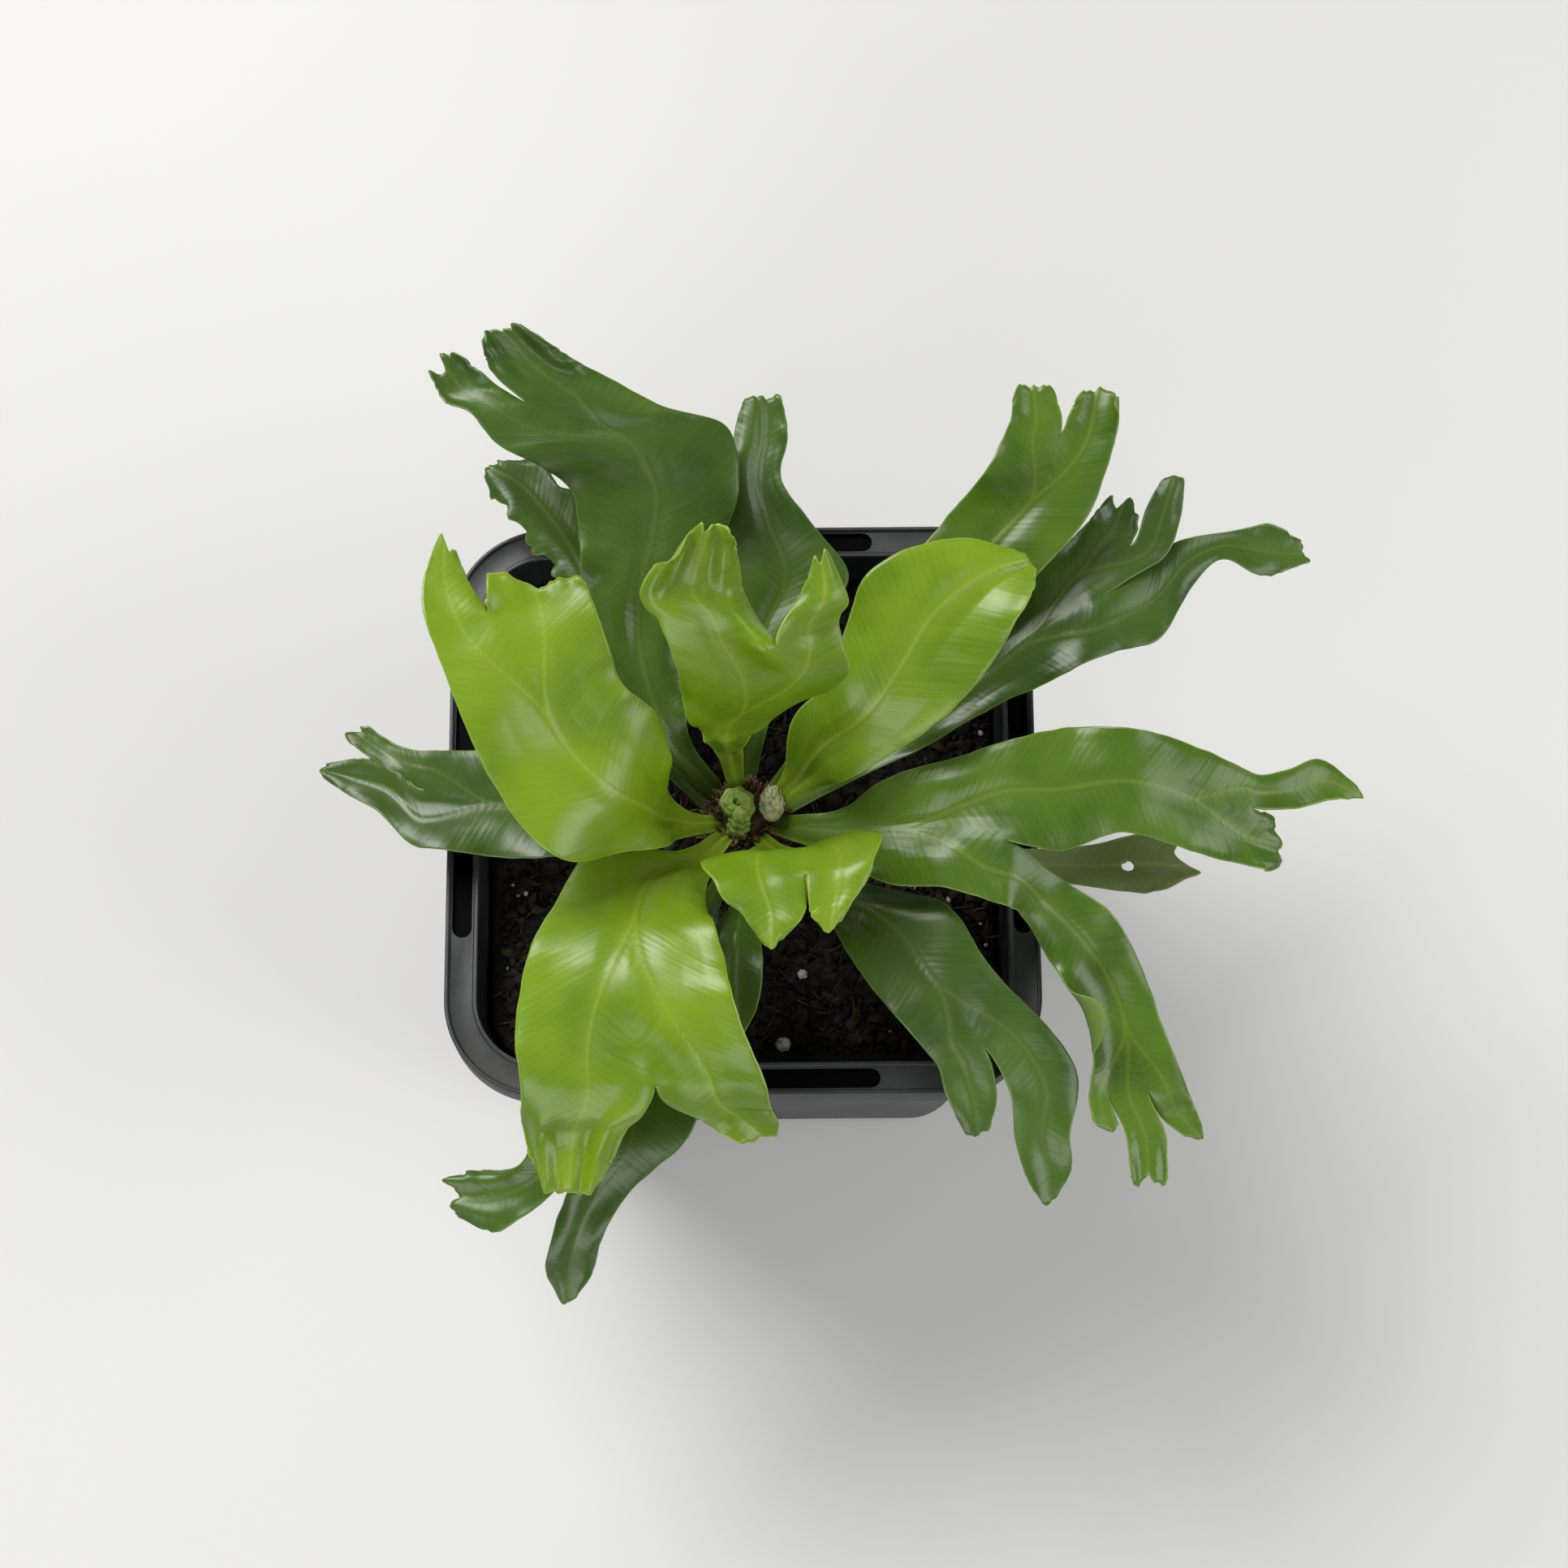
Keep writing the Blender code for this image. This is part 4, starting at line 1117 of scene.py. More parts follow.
# The ribs are the CAD blades' own. Tips, curls, holes and habits are looks only.
FRONDS: dict[str, FrondPlan] = {
    "frond_back_left": FrondPlan(
        Age.DARK, 125, False, (
            Rib(-12, 12, 9, 3.4, 110), Rib(-14.5, 19, 11, 6, 98), Rib(-16, 29, 15, 8, 94),
            Rib(-13.5, 40, 19, 11, 92), Rib(-13, 46, 22, 12.5, 91), Rib(-16, 51.5, 25, 14.4, 101),
            Rib(-24.5, 54.5, 27, 12.4, 104), Rib(-29.5, 58, 28.5, 10.5, 107),
        ), (
            Lobe(3, (Rib(-41.5, 59.5, 29.5, 3.4, 128), Rib(-44, 62.5, 30.5, 2.6, 132)),
                 tips=(Tip(-0.9, 1.2, 0.9), Tip(-0.2, -1.0, 0.9), Tip(0.5, 1.2, 1.0)), crest=0.8,
                 pleat=0.4),
            Lobe(5, (Rib(-31, 62.5, 31, 6.2, 98), Rib(-34.5, 66, 33, 4.4, 100)),
                 tips=(Tip(-0.35, 1.2, 1.6), Tip(0.1, -0.6, 0.9), Tip(0.5, 1.4, 1.4)), crest=0.5,
                 pleat=0.5),
        ), ruffle=0.85, fold=0.1,
    ),
    "frond_back_left_low": FrondPlan(
        Age.DARK, 150, False, (
            Rib(-14, 12, 2, 1.6, 125), Rib(-20.5, 28, 3.5, 2.2, 117), Rib(-25, 40, 5, 4, 122),
            Rib(-30.5, 48.5, 6, 5.2, 135), Rib(-34.5, 53, 6, 4.7, 140), Rib(-38.5, 55.5, 6, 2.6, 141),
        ), teeth=0.75, comb=0.8, crest=0.6, ruffle=0.35,
    ),
    "frond_back": FrondPlan(
        Age.DARK, 90, False, (
            Rib(1, 15, 7, 3, 89), Rib(3, 27, 11, 6, 85), Rib(6.5, 36, 13, 9.5, 86),
            Rib(4, 42.5, 15, 6.8, 90), Rib(2, 49, 17, 4, 92), Rib(3, 56.5, 19, 4, 88),
            Rib(3, 61, 20, 3, 90),
        ), tips=(Tip(0.9, 0.9, 0.9), Tip(0.3, -0.5, 0.9)), crest=0.4, fold=0.16,
    ),
    "frond_left_young": FrondPlan(
        Age.YOUNG, 192, True, (
            Rib(-9, -3.5, 13, 2.2, 185), Rib(-14.5, -4.5, 26, 7.2, 160), Rib(-19.5, -3.5, 33, 12.5, 144),
            Rib(-26.5, 3.5, 38, 11.5, 126), Rib(-30, 12, 42, 11.5, 108),
            Rib(-32.8, 19.6, 43.8, 11.7, 102),
        ), (
            Lobe(3, (Rib(-41.8, 24, 45, 3, 97), Rib(-41.8, 28, 46, 1.6, 95)), tips=(Tip(-0.2, 1.2, 0.8),),
                 crest=0.7, pleat=0.3),
            Lobe(
                5, (Rib(-29.3, 22.6, 45, 7.2, 99),), tips=(
                    Tip(-0.66, 3.4, 1.5), Tip(-1.0, -1.2, 0.8), Tip(-0.38, 0.9, 0.9),
                    Tip(0.15, -1.8, 3.0), Tip(1.0, 1.2, 1.2),
                ), crest=0.3,
            ),
        ), ruffle=0.6, fold=0.14,
    ),
    "frond_centre_young": FrondPlan(
        Age.YOUNG, 105, True, (
            Rib(-2, 6.8, 12, 1.8, 95), Rib(-2.3, 6.6, 25, 3.8, 92), Rib(0.5, 8, 36, 9, 90, 6),
            Rib(3, 10.5, 43, 12, 90, 7), Rib(1.5, 14.8, 49, 12.6, 90, 7),
        ), (
            Lobe(
                5, (
                    Rib(-6.6, 19, 52.5, 7.2, 92, 5), Rib(-5.6, 22.5, 56, 5.6, 92, 4),
                    Rib(-4.6, 25.2, 59, 4.3, 90, 4),
                ), tips=(Tip(-0.95, -2.0, 1.6), Tip(-0.3, 0.8, 1.2), Tip(0.5, 0.9, 1.4)), crest=0.7,
                pleat=1.15, curl=1.2,
            ),
            Lobe(3, (Rib(11.8, 18.3, 52.5, 3.2, 80, 3), Rib(11.4, 22.4, 55, 1.1, 85)),
                 tips=(Tip(0.8, 0.9, 0.7),), crest=0.9, pleat=0.5, curl=-1.0),
        ), ruffle=0.7, lip=2.6,
    ),
    "frond_right_young": FrondPlan(
        Age.YOUNG, 20, True, (
            Rib(7.8, 3.6, 11, 2.6, 35, 6), Rib(12.2, 6.6, 20, 6.2, 42, 8),
            Rib(18.5, 9.5, 27, 7.4, 50, 12), Rib(23, 15, 31, 9.8, 54, 10), Rib(27.5, 21.5, 34, 11, 54, 8),
            Rib(33, 26, 35.5, 8.6, 50, 9), Rib(38, 28.5, 35.5, 5.4, 45, 10),
            Rib(41, 29.5, 35, 2.4, 45, 10),
        ), curls=(Curl(1, 0.72, 1.0, 0.9),), ruffle=0.35, crest=0.25, fold=0.12,
    ),
    "frond_back_right_forked": FrondPlan(
        Age.MATURE, 55, False, (
            Rib(12, 13, 5, 2, 50), Rib(20.5, 20, 10, 4, 50), Rib(30.5, 31, 15, 7.3, 53),
            Rib(38, 38.3, 18.5, 8.2, 60, 4), Rib(44.5, 45.5, 22, 8.4, 68, 6),
            Rib(47.8, 53, 25.5, 8, 80, 5),
        ), (
            Lobe(4, (Rib(43.7, 58.6, 28.3, 3.2, 93),), tips=(Tip(-0.7, 0.8, 1.0), Tip(0.7, 0.6, 0.9)),
                 crest=0.4),
            Lobe(4, (Rib(53.2, 58, 27.6, 3, 78),), curls=(Curl(1, 0.05, 0.8, 2.2),),
                 tips=(Tip(0.2, 0.8, 0.9),), crest=0.5),
        ), ruffle=0.5, fold=0.16,
    ),
    "frond_right_back_crested": FrondPlan(
        Age.DARK, 27, False, (
            Rib(14, 6.5, 3, 1.8, 27), Rib(25, 11.5, 7, 2.6, 30), Rib(36, 19.5, 9, 4.6, 34),
            Rib(45.5, 26.5, 11, 7.4, 28), Rib(52.5, 31.5, 12, 9.1, 22),
        ), (
            Lobe(
                5, (Rib(57.7, 40, 13, 6.2, 60),), (
                    Lobe(
                        3, (Rib(57.8, 45.6, 14, 3, 82),), tips=(
                            Tip(-0.8, 1.2, 0.8), Tip(-0.25, -1.0, 0.8), Tip(0.2, 1.2, 0.8),
                            Tip(0.75, -0.8, 0.7),
                        ), crest=0.5,
                    ), Lobe(2, (Rib(64, 44.6, 14, 2.7, 72), Rib(65.6, 49.8, 14.8, 1.9, 92)), crest=0.3),
                ),
            ),
            Lobe(
                4, (
                    Rib(63.1, 32.3, 10.5, 6.1, 6), Rib(67.6, 37.6, 10.5, 3.5, 14),
                    Rib(73.4, 40.5, 10, 2.2, -10), Rib(79.8, 40, 8.7, 3.8, -10),
                    Rib(85.2, 39.8, 8, 2.2, -10),
                ), tips=(Tip(0.5, 0.9, 0.9),), crest=0.6, curls=(Curl(-1, 0.35, 0.6, 0.9),), pleat=0.3,
            ),
        ), ruffle=0.7, fold=0.08,
    ),
    "frond_right_forked": FrondPlan(
        Age.MATURE, 342, True, (
            Rib(14, -4.5, 11, 3.8, -12, 6), Rib(22, -5.5, 15.5, 8, -7, 8),
            Rib(30.5, -5.5, 19, 9.6, -4, 10), Rib(38.5, -6, 21, 12, -5, 12),
        ), (
            Lobe(
                8, (
                    Rib(46, -1.5, 22.5, 9, -4, 13), Rib(56.5, -0.5, 23, 7.6, -12, 13),
                    Rib(67, -3, 20.5, 7.4, -9, 13), Rib(74, -5, 18, 6.8, -6, 12),
                ), (
                    Lobe(
                        3, (
                            Rib(80.5, 0, 16, 2.9, 14, 8), Rib(86.5, 2, 13.5, 3, 4),
                            Rib(90.4, 0.6, 12, 1.2, -25),
                        ), tips=(Tip(0.2, 1.4, 0.7),), crest=0.5, curl=0.6,
                    ),
                    Lobe(5, (Rib(78, -8.3, 15.8, 4.2, -10, 8),),
                         tips=(Tip(-0.6, -1.2, 1.4), Tip(0.55, 1.2, 1.4)), crest=0.35, pleat=0.35),
                ),
            ), Lobe(
                5, (
                    Rib(43.5, -16, 15.5, 4, -46, 20), Rib(49.5, -21.5, 13, 5.8, -50, 18),
                    Rib(54, -28, 10, 5, -64, 15), Rib(56.5, -36, 7.5, 5.4, -77, 10),
                    Rib(57.6, -43, 6, 7.2, -88, 5),
                ), curls=(Curl(1, 0.34, 0.62, 2.9, 1.0),), lobes=(
                    Lobe(2, (Rib(63.4, -45.9, 5, 2.6, -72), Rib(65.8, -48.9, 4.5, 1.5, -62)),
                         tips=(Tip(0.0, 0.9, 0.7),), crest=0.6),
                    Lobe(2, (Rib(58.6, -49.5, 5, 2.9, -90), Rib(59, -55.4, 3.4, 2.8, -88)),
                         tips=(Tip(-0.8, 1.0, 0.8), Tip(0.0, -1.2, 0.8), Tip(0.8, 0.9, 0.8)), crest=0.6,
                         pleat=0.4),
                    Lobe(1, (Rib(52.9, -48, 5, 1.9, -98),), crest=0.5),
                ),
            ),
        ), ruffle=0.55, fold=0.1,
    ),
    "frond_right_low": FrondPlan(
        Age.MATURE, 352, False, (
            Rib(17, -3.5, 0.5, 1.3, -7), Rib(28.5, -5.5, 3, 1.5, -8), Rib(40.5, -7.5, 4, 2, -6),
            Rib(52.5, -8.5, 5, 3.4, 0), Rib(60.5, -8.2, 5, 4.5, 0), Rib(65.2, -8.6, 5, 4, -6),
        ), tips=(Tip(-0.45, -1.6, 1.4), Tip(0.25, 2.4, 0.9), Tip(1.0, -1.2, 1.0)), crest=0.1,
        holes=(Hole(53.5, 0.3, 0.95),), ruffle=0.2, faded=True,
    ),
    "frond_front_right_low": FrondPlan(
        Age.DARK, 312, False, (
            Rib(8.5, -8.5, 3, 1.6, -48), Rib(14, -13.5, 8, 3.4, -55), Rib(22.5, -20, 11.5, 8, -58),
            Rib(28.5, -28.5, 11.5, 8, -63), Rib(36, -36.5, 9.5, 8.6, -72),
        ), (
            Lobe(
                4, (
                    Rib(43.8, -42.5, 6.5, 5.2, -78), Rib(43.5, -49.5, 4, 4, -85),
                    Rib(44.5, -55, 2, 3.2, -78), Rib(44.5, -58.5, 1, 1.2, -70),
                ),
            ), Lobe(3, (Rib(33, -43, 7, 3.8, -86), Rib(34, -48.5, 4, 2, -80))),
        ), ruffle=0.35, teeth=0.05, crest=0.15, fold=0.06,
    ),
    "frond_front_left_young": FrondPlan(
        Age.YOUNG, 225, True, (
            Rib(-7, -8.5, 10, 2.6, 234), Rib(-14, -14, 19, 9, 244, 4), Rib(-16, -24, 25, 13, 262, 7),
            Rib(-16.5, -34, 25, 15.7, 269, 5), Rib(-14.3, -43.6, 21.3, 17.4, 269, 5),
        ), (
            Lobe(4, (Rib(-1.8, -47.6, 18.6, 5.6, 278), Rib(2, -50.6, 16, 3.2, 298)),
                 tips=(Tip(-0.6, 0.8, 1.2), Tip(0.3, -0.6, 1.2)), crest=0.5),
            Lobe(5, (Rib(-24.4, -49.8, 17.6, 7.6, 268, 7), Rib(-25.2, -56.8, 14, 5, 266, 5)),
                 tips=(Tip(-0.5, 0.9, 1.2), Tip(0.6, 0.8, 1.3)), crest=0.6, pleat=1.0, curl=0.8),
        ), ruffle=0.8, fold=0.16, lip=1.6,
    ),
    "frond_front_low": FrondPlan(
        Age.DARK, 245, False, (
            Rib(-5.5, -14, 4, 1.7, 250), Rib(-9.5, -24.5, 6, 4.8, 255), Rib(-15, -38.5, 8, 8.6, 258),
            Rib(-19, -48, 7.5, 10.8, 262), Rib(-23, -53, 6, 9.2, 262),
        ), (
            Lobe(
                4, (
                    Rib(-22.5, -58, 4, 4.2, 268), Rib(-25, -63, 1, 3.6, 262),
                    Rib(-26.5, -68, -4, 3.2, 268), Rib(-26.8, -71, -6, 1.4, 278),
                ), tips=(Tip(0.3, 0.7, 0.7),), crest=0.4,
            ),
            Lobe(3,
                 (Rib(-34.5, -57, 4, 4, 214), Rib(-39, -58, 2.5, 4.8, 200), Rib(-42.5, -57.5, 2, 3, 186)),
                 tips=(Tip(-0.7, 1.0, 0.9), Tip(0.2, -1.0, 0.9), Tip(0.8, 1.0, 0.8)), crest=0.8,
                 pleat=0.5),
        ), ruffle=0.6, fold=0.16,
    ),
    "frond_front_small": FrondPlan(
        Age.DARK, 272, False, (
            Rib(-0.6, -14, 5, 1.4, 266), Rib(-1.2, -20, 9, 3.5, 265), Rib(-1.6, -26, 9.5, 4.1, 270),
            Rib(-1.4, -31.4, 9, 2.8, 270), Rib(-1.2, -34.4, 8, 1, 272),
        ), ruffle=0.3, fold=0.15,
    ),
    "frond_front_young": FrondPlan(
        Age.YOUNG, 300, True, (
            Rib(5.2, -8, 12, 2.4, 285), Rib(6.5, -10.2, 20, 8, 280), Rib(7, -12.5, 25, 13, 277),
            Rib(7.4, -16.5, 27.5, 11.6, 279),
        ), (
            Lobe(3, (Rib(13, -20, 28.5, 3.8, 296), Rib(12.5, -23, 28.5, 1.5, 285)),
                 tips=(Tip(0.2, 0.7, 0.7),), crest=0.4),
            Lobe(4, (Rib(4, -21.5, 28.5, 4.4, 264), Rib(4, -25.2, 28.5, 1.7, 272)),
                 tips=(Tip(0.0, 0.8, 0.8),), crest=0.4),
        ), ruffle=0.75, fold=0.22,
    ),
    "frond_left_low": FrondPlan(
        Age.DARK, 180, False, (
            Rib(-15, 0.5, 3, 2.4, 180), Rib(-28, 1, 5, 8, 180), Rib(-40, 1.8, 5, 8.2, 180),
            Rib(-48.5, 2.4, 4.5, 7.6, 178),
        ), (
            Lobe(
                5, (
                    Rib(-54.5, 4.9, 4, 3.9, 165), Rib(-59.5, 6.8, 3.2, 2.9, 162),
                    Rib(-63.8, 8, 3, 1.2, 165),
                ), tips=(Tip(0.2, 0.8, 0.7),), crest=0.6, pleat=0.3,
            ),
            Lobe(3, (Rib(-55.5, 10.8, 4.5, 1.9, 150), Rib(-59, 13.4, 4.5, 1.9, 132)),
                 tips=(Tip(-0.6, 0.8, 0.6),), crest=0.6),
        ), ruffle=0.6, fold=0.3,
    ),
}


# ------------------------------------------------------------------------- pot


@dataclass
class Pot:
    """The nursery pot, with a flat slotted rim, a skirt and a drained floor."""

    width: float = 90.0
    height: float = 75.0
    base: float = 71.0
    wall: float = 1.2
    floor: float = 2.0
    band: float = 5.0
    thick: float = 1.8
    rim_corner: float = 15.0
    base_corner: float = 8.0
    skirt_drop: float = 6.0
    skirt_wall: float = 1.2
    bead_width: float = 0.7
    bead_height: float = 0.4
    foot_round: float = 1.5
    slot_length: float = 41.0
    slot_width: float = 3.0
    slot_depth: float = 0.9
    drain_radius: float = 3.0
    drain_inset: float = 10.0
    drain_sides: int = 32
    corner_steps: int = 18

    def wall_half(self, z: float) -> float:
        """Returns half the width of the wall's outer face at a height."""
        top = self.height - self.thick
        top_half = self.width / 2 - self.band + self.wall
        return self.base / 2 + (top_half - self.base / 2) * min(max(z / top, 0.0), 1.0)

    def wall_corner(self, z: float) -> float:
        """Returns the wall's corner radius at a height."""
        top_corner = self.rim_corner - self.band + self.wall
        return self.base_corner + (top_corner - self.base_corner) * min(max(z / self.height, 0.0), 1.0)

    def edge_corner(self, half: float) -> float:
        """Returns the corner radius of an edge of the rim, which share their centres."""
        return self.rim_corner - (self.width / 2 - half)

    def section(self) -> list[tuple[float, float, float]]:
        """Returns the wall's section as (half width, corner radius, height), outside first."""
        half, under, flat = self.width / 2, self.height - self.thick, self.height - self.bead_height
        inner, skirt = half - self.band, half - self.skirt_wall
        foot = self.base / 2 - self.foot_round
        rows: list[tuple[float, float, float]] = []
        for step in range(5):
            turn = step / 4 * math.pi / 2
            width = foot + self.foot_round * math.sin(turn)
            rows.append((width, self.base_corner - self.foot_round * (1 - math.sin(turn)),
                         self.foot_round * (1 - math.cos(turn))))
        ledge = 0.80 * under
        for z, proud in ((4.0, 0.0), (ledge - 0.5, 0.0), (ledge, 0.35), (under - 0.6, 0.35)):
            rows.append((self.wall_half(z) + proud, self.wall_corner(z) + proud, z))
        rows.append((self.wall_half(under) + 0.8, self.wall_corner(under) + 0.8, under))
        hem = self.height - self.skirt_drop
        for width, z in (
            (skirt - 0.35, under), (skirt, under - 0.4), (skirt, hem + 0.3), (skirt + 0.2, hem),
            (half - 0.25, hem), (half, hem + 0.25), (half, self.height - 0.35),
            (half - 0.12, self.height - 0.08), (half - 0.30, self.height),
            (half - self.bead_width + 0.15, self.height), (half - self.bead_width, self.height - 0.10),
            (half - self.bead_width - 0.08, flat + 0.06), (half - self.bead_width - 0.25, flat),
            (inner + self.bead_width + 0.25, flat), (inner + self.bead_width + 0.08, flat + 0.06),
            (inner + self.bead_width, self.height - 0.10), (inner + self.bead_width - 0.15, self.height),
            (inner + 0.15, self.height), (inner, self.height - 0.15),
        ):
            rows.append((width, self.edge_corner(width), z))
        for z in (under - 0.8, 0.5 * under, self.floor + 1.2):
            rows.append((self.wall_half(z) - self.wall, self.wall_corner(z) - self.wall, z))
        low = self.wall_half(self.floor) - self.wall
        rows.append((low - 1.0, self.wall_corner(self.floor) - self.wall - 1.0, self.floor))
        return rows

    def cutter(self, name: str, outline: Sequence[tuple[float, float]], low: float, high: float,
               material: Material) -> Piece:
        """Makes a straight-sided cutter from an anticlockwise outline, in millimetres."""
        return link_mesh(name, *skin([level_ring(outline, z) for z in (low, high)]), material)

    def slot_outline(self, turn: int) -> list[tuple[float, float]]:
        """Returns a slot's outline with round ends, in the middle of one side of the rim."""
        line, radius = (self.width - self.band) / 2, self.slot_width / 2
        ends = []
        for side in (1, -1):
            for step in range(9):
                angle = -math.pi / 2 + step / 8 * math.pi + (0 if side > 0 else math.pi)
                ends.append((
                    side * (self.slot_length / 2 - radius) + radius * math.cos(angle),
                    line + radius * math.sin(angle),
                ))
        c, s = math.cos(turn * math.pi / 2), math.sin(turn * math.pi / 2)
        return [(c * x - s * y, s * x + c * y) for x, y in ends]

    def drains(self) -> list[tuple[float, float]]:
        """Returns the drainage holes' centres. The middle of the floor stays whole."""
        reach = self.base / 2 - self.drain_inset
        return [(x, y) for x in (-reach, 0.0, reach) for y in (-reach, 0.0, reach) if (x, y) != (0.0, 0.0)]

    def build(self) -> None:
        """Builds the pot."""
        rings = [
            level_ring(rounded_square(half, corner, self.corner_steps), z)
            for half, corner, z in self.section()
        ]
        material = POT_FINISH.build()
        pot = link_mesh("nursery_pot", *skin(rings), material)
        slot_floor = self.height - self.bead_height - self.slot_depth
        cutters = [
            self.cutter(f"slot_cutter_{i + 1}", self.slot_outline(i), slot_floor, self.height + 2, material)
            for i in range(4)
        ]
        for i, (x, y) in enumerate(self.drains()):
            turns = (step / self.drain_sides * 2 * math.pi for step in range(self.drain_sides))
            ring = [
                (x + self.drain_radius * math.cos(a), y + self.drain_radius * math.sin(a)) for a in turns
            ]
            cutters.append(self.cutter(f"drain_cutter_{i + 1}", ring, -1.0, self.floor + 2, material))
        for cutter in cutters:
            modifier = pot.modifiers.new(cutter.name, "BOOLEAN")
            modifier.operation, modifier.solver, modifier.object = "DIFFERENCE", "EXACT", cutter
        bake(pot)
        for cutter in cutters:
            bpy.data.objects.remove(cutter, do_unlink=True)
        pot.data.polygons.foreach_set("use_smooth", [True] * len(pot.data.polygons))
        pot.data.set_sharp_from_angle(angle=math.radians(38))
        dress(pot, "pot_plastic", "pot")


# ---------------------------------------------------------------- potting mix


@dataclass
class Scatter:
    """A Geometry Nodes scatter of one small shape over a surface, at a fixed seed."""

    name: str
    shape: Piece
    material: Material
    density: float
    low: float
    high: float
    seed: int
    lift: float = 0.0
    tilt: float = math.pi

    def tree(self) -> bpy.types.NodeTree:
        """Returns the geometry tree, with named inputs for its sizes."""
        tree = bpy.data.node_groups.new(self.name, "GeometryNodeTree")
        face = tree.interface
        face.new_socket("Geometry", in_out="INPUT", socket_type="NodeSocketGeometry")
        for name, kind, value in (
            ("Density", "NodeSocketFloat", self.density), ("Smallest", "NodeSocketFloat", self.low),
            ("Largest", "NodeSocketFloat", self.high), ("Lift", "NodeSocketFloat", self.lift),
            ("Tilt", "NodeSocketFloat", self.tilt), ("Seed", "NodeSocketInt", self.seed),
        ):
            face.new_socket(name, in_out="INPUT", socket_type=kind).default_value = value
        face.new_socket("Geometry", in_out="OUTPUT", socket_type="NodeSocketGeometry")
        sketch = NodeSketch(tree)
        inputs = sketch.add("NodeGroupInput").outputs
        spots = sketch.add(
            "GeometryNodeDistributePointsOnFaces",
            {"Mesh": inputs["Geometry"], "Density": inputs["Density"], "Seed": inputs["Seed"]},
        )
        size = sketch.add(
            "FunctionNodeRandomValue", {2: inputs["Smallest"], 3: inputs["Largest"], "Seed": inputs["Seed"]},
            data_type="FLOAT",
        )
        back = sketch.times(inputs["Tilt"], -1.0)
        low = sketch.add("ShaderNodeCombineXYZ", {0: back, 1: back, 2: -math.pi})
        high = sketch.add("ShaderNodeCombineXYZ", {0: inputs["Tilt"], 1: inputs["Tilt"], 2: math.pi})
        turn = sketch.add(
            "FunctionNodeRandomValue",
            {0: low.outputs[0], 1: high.outputs[0], "Seed": sketch.math("ADD", inputs["Seed"], 7.0)},
            data_type="FLOAT_VECTOR",
        )
        source = sketch.add("GeometryNodeObjectInfo", {"Object": self.shape})
        copies = sketch.add(
            "GeometryNodeInstanceOnPoints",
            {
                "Points": spots.outputs["Points"], "Instance": source.outputs["Geometry"],
                "Rotation": turn.outputs[0], "Scale": size.outputs[1],
            },
        )
        up = sketch.add("ShaderNodeCombineXYZ", {2: inputs["Lift"]})
        moved = sketch.add(
            "GeometryNodeTranslateInstances", {"Instances": copies.outputs[0], "Translation": up.outputs[0]}
        )
        moved.inputs["Local Space"].default_value = False
        real = sketch.add("GeometryNodeRealizeInstances", {0: moved.outputs[0]})
        coat = {"Geometry": real.outputs[0], "Material": self.material}
        dressed = sketch.add("GeometryNodeSetMaterial", coat)
        sketch.add("NodeGroupOutput", {0: dressed.outputs[0]})
        return tree

    def build(self, ground: Piece) -> Piece:
        """Scatters the shape over a ground.

        Args:
            ground: the surface, which isn't changed.

        Returns:
            The scattered pieces as one plain mesh.
        """
        obj = bpy.data.objects.new(self.name, ground.data.copy())
        bpy.context.scene.collection.objects.link(obj)
        obj.modifiers.new("Scatter", "NODES").node_group = self.tree()
        bake(obj)
        obj.data.materials.clear()
        obj.data.materials.append(self.material)
        bpy.data.objects.remove(self.shape, do_unlink=True)
        return obj


def pebble(name: str, detail: int, move: Callable[[Vector], Vector]) -> Piece:
    """Makes a lump out of a ball 1 m across.

    Args:
        name: its name.
        detail: icosphere subdivisions, 1 for 20 faces and 2 for 80.
        move: where a point of the ball goes.

    Returns:
        The lump.
    """
    bm = bmesh.new()
    bmesh.ops.create_icosphere(bm, subdivisions=detail, radius=0.5)
    for vertex in bm.verts:
        vertex.co = move(vertex.co)
    mesh = bpy.data.meshes.new(name)
    bm.to_mesh(mesh)
    bm.free()
    obj = bpy.data.objects.new(name, mesh)
    bpy.context.scene.collection.objects.link(obj)
    return obj


def stretched(point: Vector, size: Sequence[float]) -> Vector:
    """Returns a point with each coordinate multiplied by its own number."""
    return Vector((point.x * size[0], point.y * size[1], point.z * size[2]))


def lumpy(point: Vector, stretch: Sequence[float], rough: float, seed: int) -> Vector:
    """Moves a grain's point, so that its ball is stretched and uneven.

    Args:
        point: the point of the ball.
        stretch: the grain's proportions.
        rough: how uneven it is.
        seed: which grain it is.

    Returns:
        The moved point.
    """
    return stretched(point, stretch) * (1 + rough * noise.noise(point * 2.3 + Vector((seed, 0, 0))))


def broken(point: Vector, middle: Vector, size: Sequence[float], index: int) -> Vector:
    """Moves a bit of perlite's point, so that its ball is pitted and fills its CAD box.

    Args:
        point: the point of the ball.
        middle: the box's middle, in metres.
        size: the box's size, in metres.
        index: which bit it is.

    Returns:
        The moved point.
    """
    place = point * 3.1 + Vector((9.0 * index, 0, 0))
    push = 1 + 0.22 * noise.noise(place) + 0.10 * noise.noise(place * 3.3)
    push -= 0.05 * noise.cell(place * 1.6)
    return middle + stretched(point, size) * push


